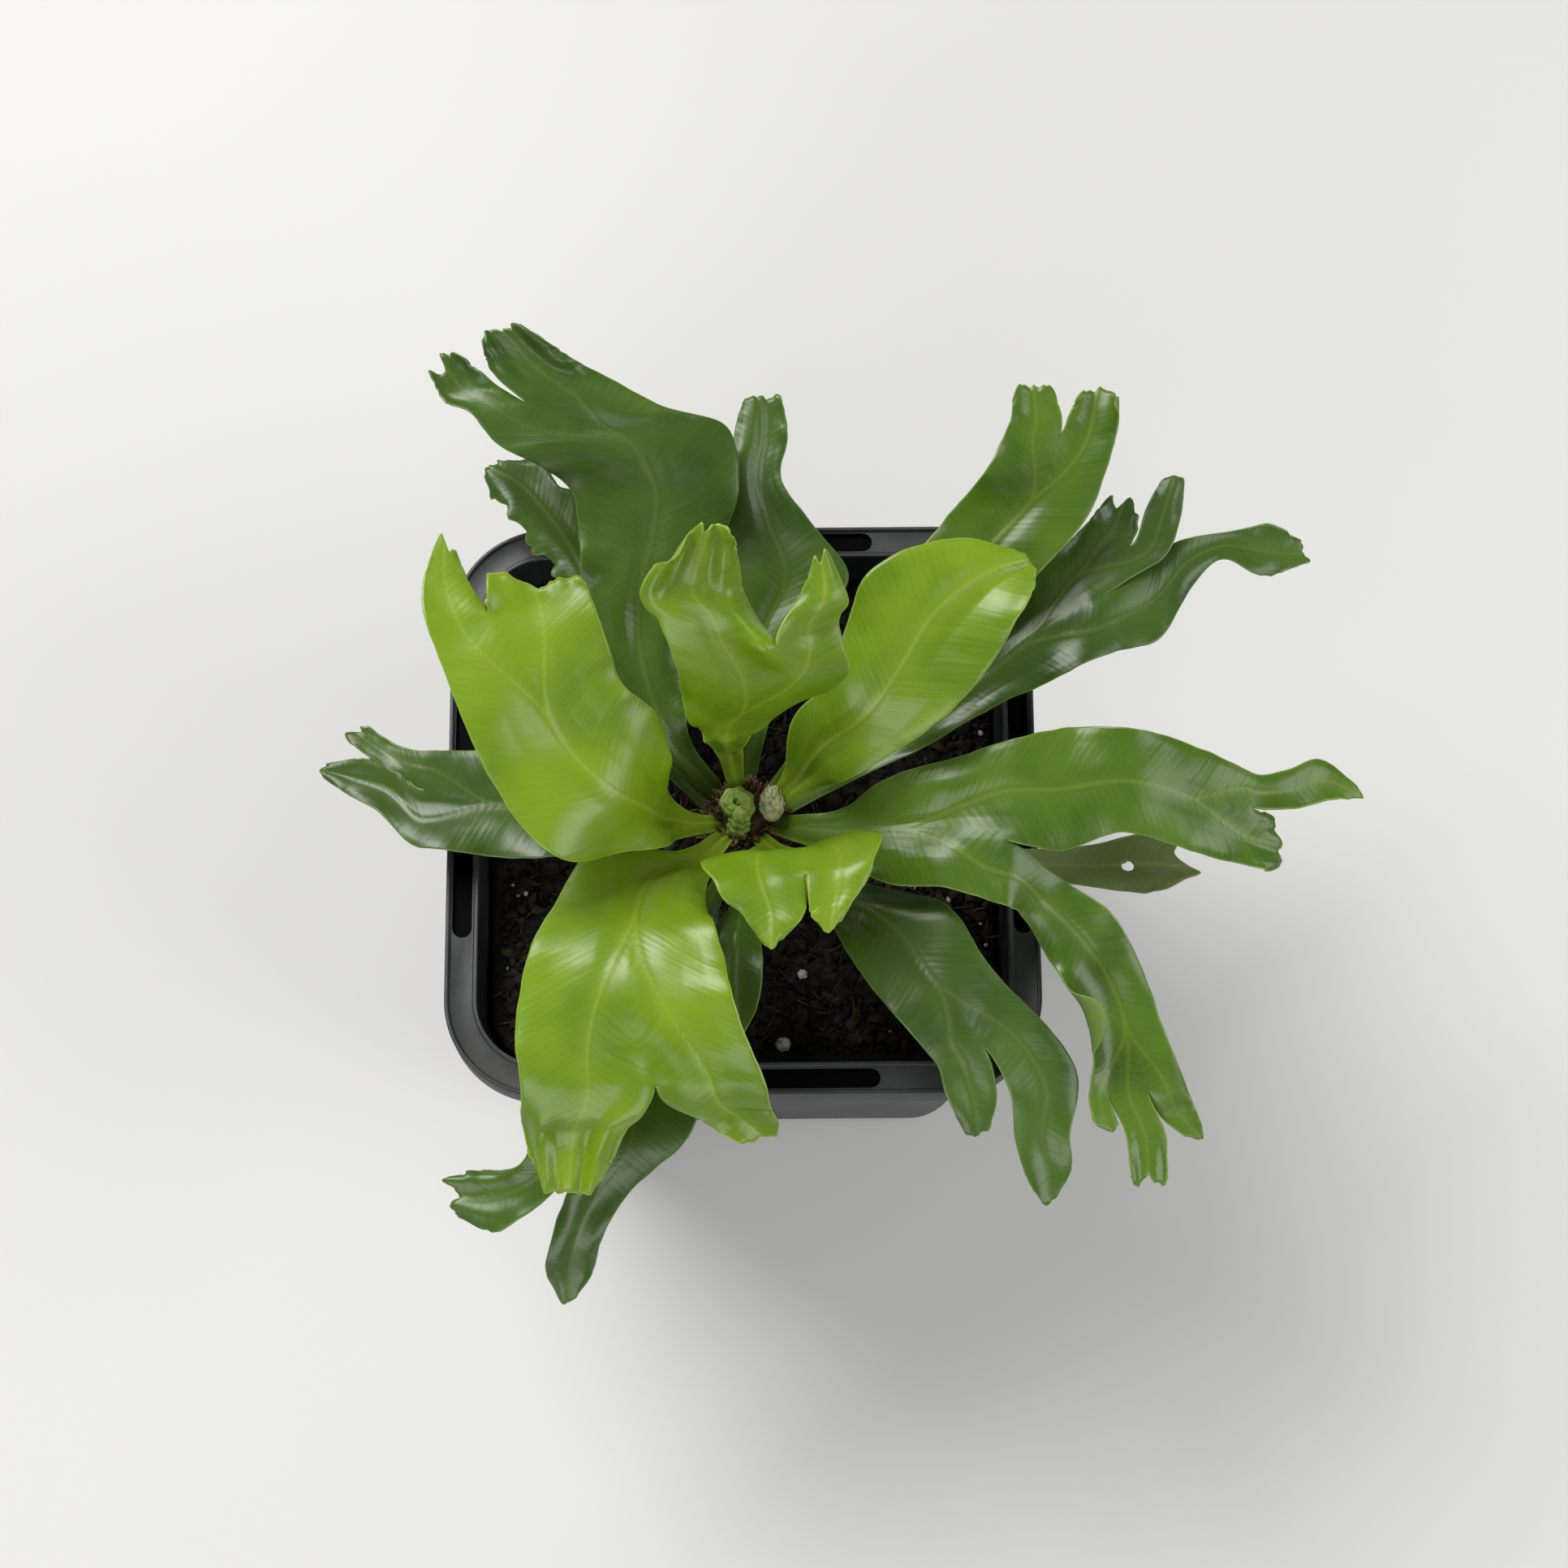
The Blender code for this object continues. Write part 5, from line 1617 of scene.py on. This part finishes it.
@dataclass
class PottingMix:
    """Peat-based mix that fills the pot, with crumbs, fibres, bark and perlite on top."""

    pot: Pot
    crown: CrownSizes
    gap: float = 0.4
    bump: float = 0.7
    cell: float = 0.9
    depth: float = 3.0

    def level(self, x: float, y: float) -> float:
        """Returns the soil's height at a place, in millimetres."""
        u, v = x / 9.0, y / 9.0
        swell = math.sin(1.3 * u + 0.7) * math.cos(1.1 * v - 0.4)
        ripple = math.sin(2.9 * u - 1.7 * v + 1.1)
        height = self.pot.height + self.crown.soil + self.bump * (0.65 * swell + 0.35 * ripple)
        place = Vector((x, y, 0.0))
        coarse, middling, fine = (noise.noise(place * pitch) for pitch in (0.23, 0.55, 1.3))
        return height + (coarse * 0.7 + middling * 0.55 + fine * 0.32)

    def ground(self, material: Material) -> Piece:
        """Returns the filled body of mix, fine on top and plain down the sides."""
        top = self.pot.height + self.crown.soil
        half = self.pot.wall_half(top) - self.pot.wall - self.gap
        corner = self.pot.wall_corner(top) - self.pot.wall - self.gap
        bottom = self.pot.floor + self.gap
        low_half = self.pot.wall_half(bottom) - self.pot.wall - self.gap
        low_corner = self.pot.wall_corner(bottom) - self.pot.wall - self.gap
        steps = 24
        rings = [[(x, y, bottom) for x, y in self.even(low_half, low_corner, steps)]]
        rings.append([(x, y, top - 2.5) for x, y in self.even(half - 0.4, corner, steps)])
        count = round(half / self.cell)
        for ring in range(count):
            share = 1 - ring / count
            rings.append([
                (x * share, y * share, self.level(x * share, y * share))
                for x, y in self.even(half - 0.4, corner, steps)
            ])
        scaled = [[(x * MM, y * MM, z * MM) for x, y, z in ring] for ring in rings]
        return link_mesh("potting_soil", *skin(scaled), material)

    def even(self, half: float, corner: float, steps: int) -> list[tuple[float, float]]:
        """Returns the mix's outline with points on its straight sides as well."""
        raw = rounded_square(half, corner, 8)
        outline: list[tuple[float, float]] = []
        for (ax, ay), (bx, by) in zip(raw, raw[1:] + raw[:1]):
            parts = steps if math.hypot(bx - ax, by - ay) > 5 else 1
            outline += [(ax + (bx - ax) * i / parts, ay + (by - ay) * i / parts) for i in range(parts)]
        return outline

    def patch(self, inset: float, material: Material) -> Piece:
        """Returns the mix's top alone, as an open ground to scatter on."""
        top = self.pot.height + self.crown.soil
        half = self.pot.wall_half(top) - self.pot.wall - self.gap - inset
        count = round(2 * half / 1.5)
        line = [-half + 2 * half * i / count for i in range(count + 1)]
        vertices = [(x * MM, y * MM, self.level(x, y) * MM) for y in line for x in line]
        faces = [
            tuple(y * (count + 1) + x for x, y in ((c, r), (c + 1, r), (c + 1, r + 1), (c, r + 1)))
            for r in range(count) for c in range(count)
            if math.hypot(line[c] - self.crown.x, line[r] - self.crown.y) > self.crown.root_radius + 0.5
            and math.hypot(max(abs(line[c]) - half + 9, 0), max(abs(line[r]) - half + 9, 0)) < 8.5
        ]
        return link_mesh("ground_patch", vertices, faces, material)

    def build(self) -> None:
        """Builds the mix and everything that lies on it."""
        peat, crumb, fibre = PEAT_FINISH.build(), CRUMB_FINISH.build(), FIBRE_FINISH.build()
        perlite, bark = PERLITE_FINISH.build(), BARK_FINISH.build()
        soil = self.ground(peat)
        dress(soil, "potting_mix", "potting_mix")
        patch = self.patch(0.8, peat)
        for name, stretch, rough, material, density, low, high, seed, lift, tilt, slot in (
            ("peat_crumbs", (1.0, 0.8, 0.7), 0.9, crumb, 1.1e6, 0.7, 1.7, 3, 0.1, math.pi, "potting_mix"),
            ("peat_lumps", (1.0, 0.9, 0.75), 1.0, crumb, 1.3e5, 1.8, 3.4, 4, 0.2, math.pi, "potting_mix"),
            ("peat_fibres", (1.0, 0.07, 0.07), 0.5, fibre, 1.6e5, 2.0, 5.5, 5, 0.5, 0.35, "potting_mix"),
            ("bark_fines", (1.0, 0.5, 0.28), 0.6, bark, 0.9e5, 1.6, 3.6, 6, 0.4, 0.6, "bark"),
            ("perlite_grit", (1.0, 0.9, 0.8), 0.5, perlite, 0.9e4, 0.5, 1.1, 9, 0.5, math.pi, "perlite"),
        ):
            shape = pebble(f"{name}_shape", 1, partial(lumpy, stretch=stretch, rough=rough, seed=seed))
            sizes = (low * MM, high * MM, seed, lift * MM, tilt)
            dress(Scatter(name, shape, material, density, *sizes).build(patch), slot)
        bpy.data.objects.remove(patch, do_unlink=True)
        self.grains(perlite)
        self.chips(bark)

    def grains(self, material: Material) -> None:
        """Builds the four bits of perlite, each in its CAD node's place."""
        for index in range(4):
            low, high = (np.array(corner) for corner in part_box(f"perlite_{index + 1}"))
            middle, size = (low + high) / 2, high - low
            move = partial(broken, middle=Vector(middle), size=size, index=index)
            obj = pebble(f"perlite_bit_{index + 1}", 4, move)
            obj.data.materials.append(material)
            obj.data.polygons.foreach_set("use_smooth", [True] * len(obj.data.polygons))
            dress(obj, "perlite", f"perlite_{index + 1}")

    def chips(self, material: Material) -> None:
        """Builds the two bark chips: split slabs with frayed ends."""
        width, thick = 2.8 * MM, 1.4 * MM
        for index, (turn, length) in enumerate(((35.0, 7.0 * MM), (110.0, 6.0 * MM))):
            low, high = (np.array(corner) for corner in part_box(f"bark_chip_{index + 1}"))
            middle = (low + high) / 2
            along, across = compass(math.radians(turn))
            rings = []
            for step in range(41):
                t = step / 40
                taper = min(1.0, 0.35 + 3.0 * min(t, 1 - t) + 0.15 * noise.noise(Vector((t * 6, index, 0))))
                ring = []
                for i in range(24):
                    a = 2 * math.pi * i / 24
                    grain = Vector((t * 9, 2.0 * math.cos(a), 2.0 * math.sin(a) + index))
                    fray = 1 + 0.18 * noise.noise(grain)
                    square = 1 / max(abs(math.cos(a)), abs(math.sin(a))) ** 0.6
                    ring.append(
                        middle + along * length * (t - 0.5)
                        + across * 0.5 * width * taper * square * math.cos(a) * fray * 0.82
                        + np.array([0, 0, 1]) * 0.5 * thick * taper * square * math.sin(a) * fray * 0.82
                    )
                rings.append(ring)
            obj = link_mesh(f"bark_piece_{index + 1}", *outward_skin(rings), material)
            dress(obj, "bark", f"bark_chip_{index + 1}")


# ------------------------------------------------------------- crown and shoots


@dataclass
class Crown:
    """The rhizome with its scales and roots, and the two youngest shoots on top of it."""

    sizes: CrownSizes
    coil_outer: float = 2.9
    coil_inner: float = 1.0
    coil_turns: float = 1.1
    shoot_radius: float = 0.8
    shoot_gap: float = 0.5
    bud_radius: float = 1.8
    bud_length: float = 5.0
    coil_rib: float = 1.25
    scale_count: int = 420
    scale_heights: tuple[float, float] = (-6.5, 4.6)
    root_count: int = 26
    root_end: float = -10.2

    def profile(self, t: float) -> tuple[float, float]:
        """Returns the rhizome's (radius, height) at a share of the way up from its root's end."""
        s = self.sizes
        collar = s.soil + 1.1
        knots = [
            (0.4 * s.root_radius, s.soil - s.root_depth), (s.root_radius, s.soil - 0.7 * s.root_depth),
            (s.root_radius, collar), (s.radius, collar + 1), (s.radius, s.lower_ring),
            (0.5 * (s.top_radius + s.radius), 0.5 * (s.upper_ring + s.lower_ring)),
            (s.top_radius, s.upper_ring), (0.6 * s.top_radius, s.top - 0.3), (0.0, s.top),
        ]
        place = t * (len(knots) - 1)
        i = min(int(place), len(knots) - 2)
        f = place - i
        return tuple(a + (b - a) * f for a, b in zip(knots[i], knots[i + 1]))

    def stock(self) -> None:
        """Builds the rhizome, knobbly with old stalk bases."""
        rings = []
        for step in range(121):
            radius, height = self.profile(min(step / 120, 0.999))
            ring = []
            for i in range(72):
                angle = 2 * math.pi * i / 72
                knob = math.sin(5 * angle + 0.9 * height) * math.sin(1.1 * height)
                lump = noise.noise(Vector((1.6 * math.cos(angle), 1.6 * math.sin(angle), 0.5 * height)))
                wide = radius * (1 + 0.05 * knob + 0.10 * lump)
                ring.append(tuple((self.sizes.place(height) + wide * compass(angle)[0]) * MM))
            rings.append(ring)
        obj = link_mesh("rhizome_stock", *skin(rings), ROOT_FINISH.build())
        dress(obj, "rhizome", "rhizome")

    def scales(self) -> None:
        """Builds the papery scales round the crown, pointing up and out."""
        vertices: list = []
        faces: list = []
        rng = np.random.default_rng(12)
        low, high = self.scale_heights
        for _ in range(self.scale_count):
            height = rng.uniform(low, high)
            share = (height - low) / (high - low)
            radius = self.sizes.radius + (self.sizes.top_radius - self.sizes.radius) * share
            if height > self.sizes.upper_ring:
                radius *= 1 - 0.5 * (height - self.sizes.upper_ring) / 2.5
            angle = rng.uniform(0, 2 * math.pi)
            outward, sideways = compass(angle)
            lean = rng.uniform(0.25, 0.9)
            growth = lean * outward + math.sqrt(1 - lean**2) * np.array([0, 0, 1.0])
            growth += rng.uniform(-0.35, 0.35) * sideways
            growth /= np.linalg.norm(growth)
            face = np.cross(sideways, growth)
            foot = self.sizes.place(height) + (radius - 0.3) * outward
            length, width = rng.uniform(1.4, 3.4), rng.uniform(0.25, 0.5)
            self.scale(vertices, faces, foot, growth, sideways, face, length, width, rng.uniform(-0.6, 0.6))
        obj = link_mesh("crown_scales", np.array(vertices) * MM, faces, SCALE_FINISH.build())
        dress(obj, "rhizome")

    def scale(self, vertices: list, faces: list, foot: np.ndarray, growth: np.ndarray, sideways: np.ndarray,
              face: np.ndarray, length: float, width: float, bend: float) -> None:
        """Adds one narrow curved scale, a closed flattened spindle.

        Args:
            vertices: the list to add points to, in millimetres.
            faces: the list to add faces to.
            foot: where it starts.
            growth: the way it points.
            sideways: the way it is wide.
            face: the way it faces.
            length: its length.
            width: half its greatest width.
            bend: how far its end curls.
        """
        start, sides, rows = len(vertices), 6, 6
        vertices.append(foot)
        for row in range(1, rows):
            t = row / rows
            wide = width * math.sin(math.pi * min(t * 0.9 + 0.12, 1.0)) + 0.03
            middle = foot + growth * length * t + face * bend * t * t
            for i in range(sides):
                a = 2 * math.pi * i / sides
                vertices.append(middle + sideways * wide * math.cos(a) + face * 0.07 * math.sin(a))
        vertices.append(foot + growth * length + face * bend)
        end = len(vertices) - 1
        for i in range(sides):
            j = (i + 1) % sides
            faces.append((start, start + 1 + j, start + 1 + i))
            for row in range(rows - 2):
                low = start + 1 + row * sides
                faces.append((low + i, low + j, low + sides + j, low + sides + i))
            low = start + 1 + (rows - 2) * sides
            faces.append((low + i, low + j, end))

    def tube(self, name: str, route: np.ndarray, radii: Sequence[float], ridges: int, depth: float,
             material: Material, up: np.ndarray) -> Piece:
        """Builds a ribbed tube with round ends.

        Args:
            name: its name.
            route: the points it follows, in millimetres.
            radii: its radius at each point.
            ridges: how many ribs run along it.
            depth: the ribs' depth as a share of the radius.
            material: its material.
            up: a direction that it never runs along.

        Returns:
            The tube.
        """
        forward = np.gradient(route, axis=0)
        forward /= np.linalg.norm(forward, axis=1)[:, None]
        rings, ridge = [], []
        for place, ahead, radius in zip(route, forward, radii):
            side = np.cross(up, ahead)
            side /= np.linalg.norm(side)
            top = np.cross(ahead, side)
            ring = []
            for i in range(40):
                a = 2 * math.pi * i / 40
                rib = 0.5 + 0.5 * math.cos(ridges * a)
                wide = radius * (1 - depth + depth * rib)
                ring.append(tuple((place + wide * (math.cos(a) * side + math.sin(a) * top)) * MM))
                ridge.append(rib)
            rings.append(ring)
        obj = link_mesh(name, *outward_skin(rings), material)
        store(obj.data, "ridge", ridge + [0.5, 0.5])
        return obj

    def crozier(self) -> None:
        """Builds the shoot that is still rolled up."""
        radius, s = self.shoot_radius, self.sizes
        coil_z = s.top + self.shoot_gap + 2.2 * radius
        centre = s.place(coil_z) + np.array([-1.6, 0.8, 0.0])
        start = centre + np.array([0.6, -self.coil_outer, -coil_z + s.top + self.shoot_gap + radius - 1.4])
        knots = [start - np.array([0, 0, 1.2]), start]
        widest = 0.68 * self.coil_outer
        for step in range(91):
            share = step / 90
            wide = widest + (0.5 * self.coil_inner - widest) * share
            angle = math.radians(-60) + 2 * math.pi * self.coil_turns * share
            arm = np.array([math.cos(angle), math.sin(angle), 0.12 * math.sin(3 * angle)])
            knots.append(centre + wide * arm)
        knots = np.array(knots)
        span = np.concatenate([[0], np.cumsum(np.linalg.norm(np.diff(knots, axis=0), axis=1))])
        at = np.linspace(0, span[-1], 160)
        route = np.stack([np.interp(at, span, knots[:, i]) for i in range(3)], axis=1)
        for _ in range(8):
            route[1:-1] = (route[:-2] + 2 * route[1:-1] + route[2:]) / 4
        share = at / span[-1]
        end = np.sqrt(np.clip(1 - np.clip((share - 0.93) / 0.07, 0, 1) ** 2, 0.02, 1))
        radii = 2.25 * radius * (1.0 - 0.42 * share) * end
        radii = radii * (1 + 0.10 * np.sin(2 * math.pi * at / self.coil_rib))
        up = np.array([0.15, 0.1, 1.0])
        obj = self.tube("rolled_crozier", route, radii, 7, 0.16, SHOOT_FINISH.build(), up)
        dress(obj, "shoot", "crozier")

    def bud(self) -> None:
        """Builds the newest shoot, a plump knob wrapped in pale overlapping scales."""
        s, radius = self.sizes, self.bud_radius
        centre = s.place(s.top + self.shoot_gap + 1.15 * radius) + np.array([4.1, 0.5, 0.0])
        material = BUD_FINISH.build()
        t = np.linspace(0.01, 0.99, 60)
        route = np.array([centre + np.array([0, (share - 0.5) * self.bud_length, 0]) for share in t])
        knobs = 1 + 0.05 * np.sin(2 * math.pi * 4 * t)
        radii = radius * np.sqrt(np.clip(1 - (2 * t - 1) ** 2, 0, 1)) * knobs
        body = self.tube("scaly_bud", route, radii, 6, 0.08, material, np.array([0.0, 0.05, 1.0]))
        dress(body, "bud_scales", "young_bud")
        vertices: list = []
        faces: list = []
        rng = np.random.default_rng(5)
        for row in range(7):
            share = 0.08 + 0.80 * row / 6
            around = radius * math.sqrt(1 - (2 * share - 1) ** 2)
            for i in range(9):
                angle = 2 * math.pi * (i + 0.5 * (row % 2)) / 9 + rng.uniform(-0.15, 0.15)
                outward = np.array([math.cos(angle), 0.0, math.sin(angle)])
                growth = np.array([0.0, 1.0, 0.0]) + (0.55 - share) * 1.2 * outward
                growth /= np.linalg.norm(growth)
                sideways = np.cross(growth, outward)
                sideways /= np.linalg.norm(sideways)
                foot = centre + np.array([0, (share - 0.5) * self.bud_length, 0]) + (around - 0.12) * outward
                facing = np.cross(sideways, growth)
                length = rng.uniform(1.0, 1.6)
                bend = rng.uniform(-0.15, 0.25)
                self.scale(vertices, faces, foot, growth, sideways, facing, length, 0.42, bend)
        scales = link_mesh("bud_scale_coat", np.array(vertices) * MM, faces, material)
        store(scales.data, "ridge", [0.8] * len(vertices))
        dress(scales, "bud_scales")

    def roots(self) -> None:
        """Builds the wiry brown roots that leave the crown and dive into the mix."""
        rng = np.random.default_rng(21)
        material = SCALE_FINISH.build()
        pieces, shares = [], np.linspace(0, 1, 26)
        for i in range(self.root_count):
            angle = rng.uniform(0, 2 * math.pi)
            height = rng.uniform(-7.5, -3.5)
            reach, drop = rng.uniform(3.0, 8.0), rng.uniform(0.5, 1.0)
            outward, sideways = compass(angle)
            line = []
            for t in shares:
                z = height + (self.root_end - height) * t**drop
                wander = 1.2 * noise.noise(Vector((3 * t, i, 0.5)))
                out = self.sizes.radius - 0.6 + reach * t
                line.append(self.sizes.place(z) + outward * out + sideways * wander)
            radii = [0.24 - 0.10 * t for t in shares]
            up = np.array([0.1, 0.07, 1.0])
            pieces.append(self.tube(f"root_{i}", np.array(line), radii, 3, 0.1, material, up))
        dress(join("crown_roots", pieces), "rhizome")

    def build(self) -> None:
        """Builds the crown's pieces in order."""
        self.stock()
        self.scales()
        self.roots()
        self.crozier()
        self.bud()


def join(name: str, pieces: Sequence[Piece]) -> Piece:
    """Joins objects of one material into a single mesh.

    Args:
        name: the result's name.
        pieces: the objects, which are removed.

    Returns:
        The joined object.
    """
    vertices: list = []
    faces: list = []
    for piece in pieces:
        start = len(vertices)
        vertices += [tuple(v.co) for v in piece.data.vertices]
        faces += [[start + i for i in polygon.vertices] for polygon in piece.data.polygons]
    joined = link_mesh(name, vertices, faces, pieces[0].data.materials[0])
    for piece in pieces:
        bpy.data.objects.remove(piece, do_unlink=True)
    return joined


@dataclass
class Foliage:
    """All the fronds, each its own piece in the place of its CAD blade."""

    crown: CrownSizes

    def build(self) -> None:
        """Lofts and dresses every frond."""
        materials = {age: finish.build() for age, finish in LEAF_FINISHES.items()}
        faded = FADED_FINISH.build()
        for seed, (name, plan) in enumerate(FRONDS.items()):
            blade = Blade(replace(plan, seed=seed + 1), self.crown)
            blade.loft()
            vertices, faces, stored = blade.solid()
            material = faded if plan.faded else materials[plan.age]
            obj = link_mesh(name.replace("frond", "leaf"), vertices, faces, material)
            for key, values in stored.items():
                store(obj.data, key, values)
            dress(obj, plan.age.value, name)


# ---------------------------------------------------------------------- studio


@dataclass
class Studio:
    """The pale floor, the soft lights and the camera, in metres and degrees."""

    target: tuple[float, float, float] = (0.00642, 0.00316, 0.075)
    elevation: float = 74.0
    roll: float = -0.48
    distance: float = 0.5
    lens: float = 75.0
    floor_half: float = 1.6
    sky: float = 0.26

    def camera(self) -> None:
        """Places the camera above and in front, looking down at the rim."""
        height, turn = math.radians(self.elevation), math.radians(self.roll)
        back = Vector((0, -math.cos(height), math.sin(height)))
        right = Vector((1, 0, 0))
        up = back.cross(right)
        across = right * math.cos(turn) + up * math.sin(turn)
        above = up * math.cos(turn) - right * math.sin(turn)
        data = bpy.data.cameras.new("camera")
        data.lens, data.sensor_width, data.clip_start = self.lens, 36.0, 0.01
        camera = bpy.data.objects.new("camera", data)
        camera.matrix_world = Matrix.Translation(Vector(self.target) + back * self.distance) @ Matrix(
            (across, above, back)
        ).transposed().to_4x4()
        bpy.context.scene.collection.objects.link(camera)
        bpy.context.scene.camera = camera

    def light(self, name: str, place: Sequence[float], size: float, power: float, colour: Colour) -> None:
        """Adds one square soft light that points at the crown.

        Args:
            name: its name.
            place: where it is, in metres.
            size: its side in metres.
            power: its power in watts.
            colour: its colour.
        """
        data = bpy.data.lights.new(name, "AREA")
        data.size, data.energy, data.color = size, power, colour
        light = bpy.data.objects.new(name, data)
        light.location = place
        aim = Vector((0.0, 0.0, 0.09)) - Vector(place)
        light.rotation_euler = aim.to_track_quat("-Z", "Y").to_euler()
        bpy.context.scene.collection.objects.link(light)

    def build(self) -> None:
        """Sets up the floor, the lights, the sky and the camera."""
        material, sketch, shader = new_material("pale_floor")
        tone = sketch.noise(6, 3.0)
        sketch.feed(shader.inputs["Base Color"], sketch.mix(tone, (0.60, 0.60, 0.59), (0.64, 0.64, 0.63)))
        shader.inputs["Roughness"].default_value = 0.85
        side = self.floor_half
        corners = [(-side, -side, 0), (side, -side, 0), (side, side, 0), (-side, side, 0)]
        link_mesh("floor", corners, [(0, 1, 2, 3)], material)
        for name, place, power, colour in (
            ("key", (-0.45, 0.50, 0.85), 12.0, (1.0, 0.99, 0.97)),
            ("fill", (0.75, -0.25, 0.55), 4.2, (1.0, 1.0, 1.0)),
            ("front", (-0.25, -0.80, 0.50), 3.6, (1.0, 1.0, 1.0)),
        ):
            self.light(name, place, 0.6, power, colour)
        world = bpy.data.worlds.new("sky")
        world.use_nodes = True
        background = world.node_tree.nodes["Background"]
        background.inputs["Color"].default_value = (0.90, 0.90, 0.90, 1)
        background.inputs["Strength"].default_value = self.sky
        bpy.context.scene.world = world
        bpy.context.scene.view_settings.view_transform = "Standard"
        self.camera()


def main() -> None:
    """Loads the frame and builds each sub-assembly on it."""
    logging.basicConfig(level=logging.INFO, format="%(message)s")
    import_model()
    crown = CrownSizes()
    Studio().build()
    pot = Pot()
    pot.build()
    PottingMix(pot, crown).build()
    Crown(crown).build()
    Foliage(crown).build()


if __name__ == "__main__":
    main()
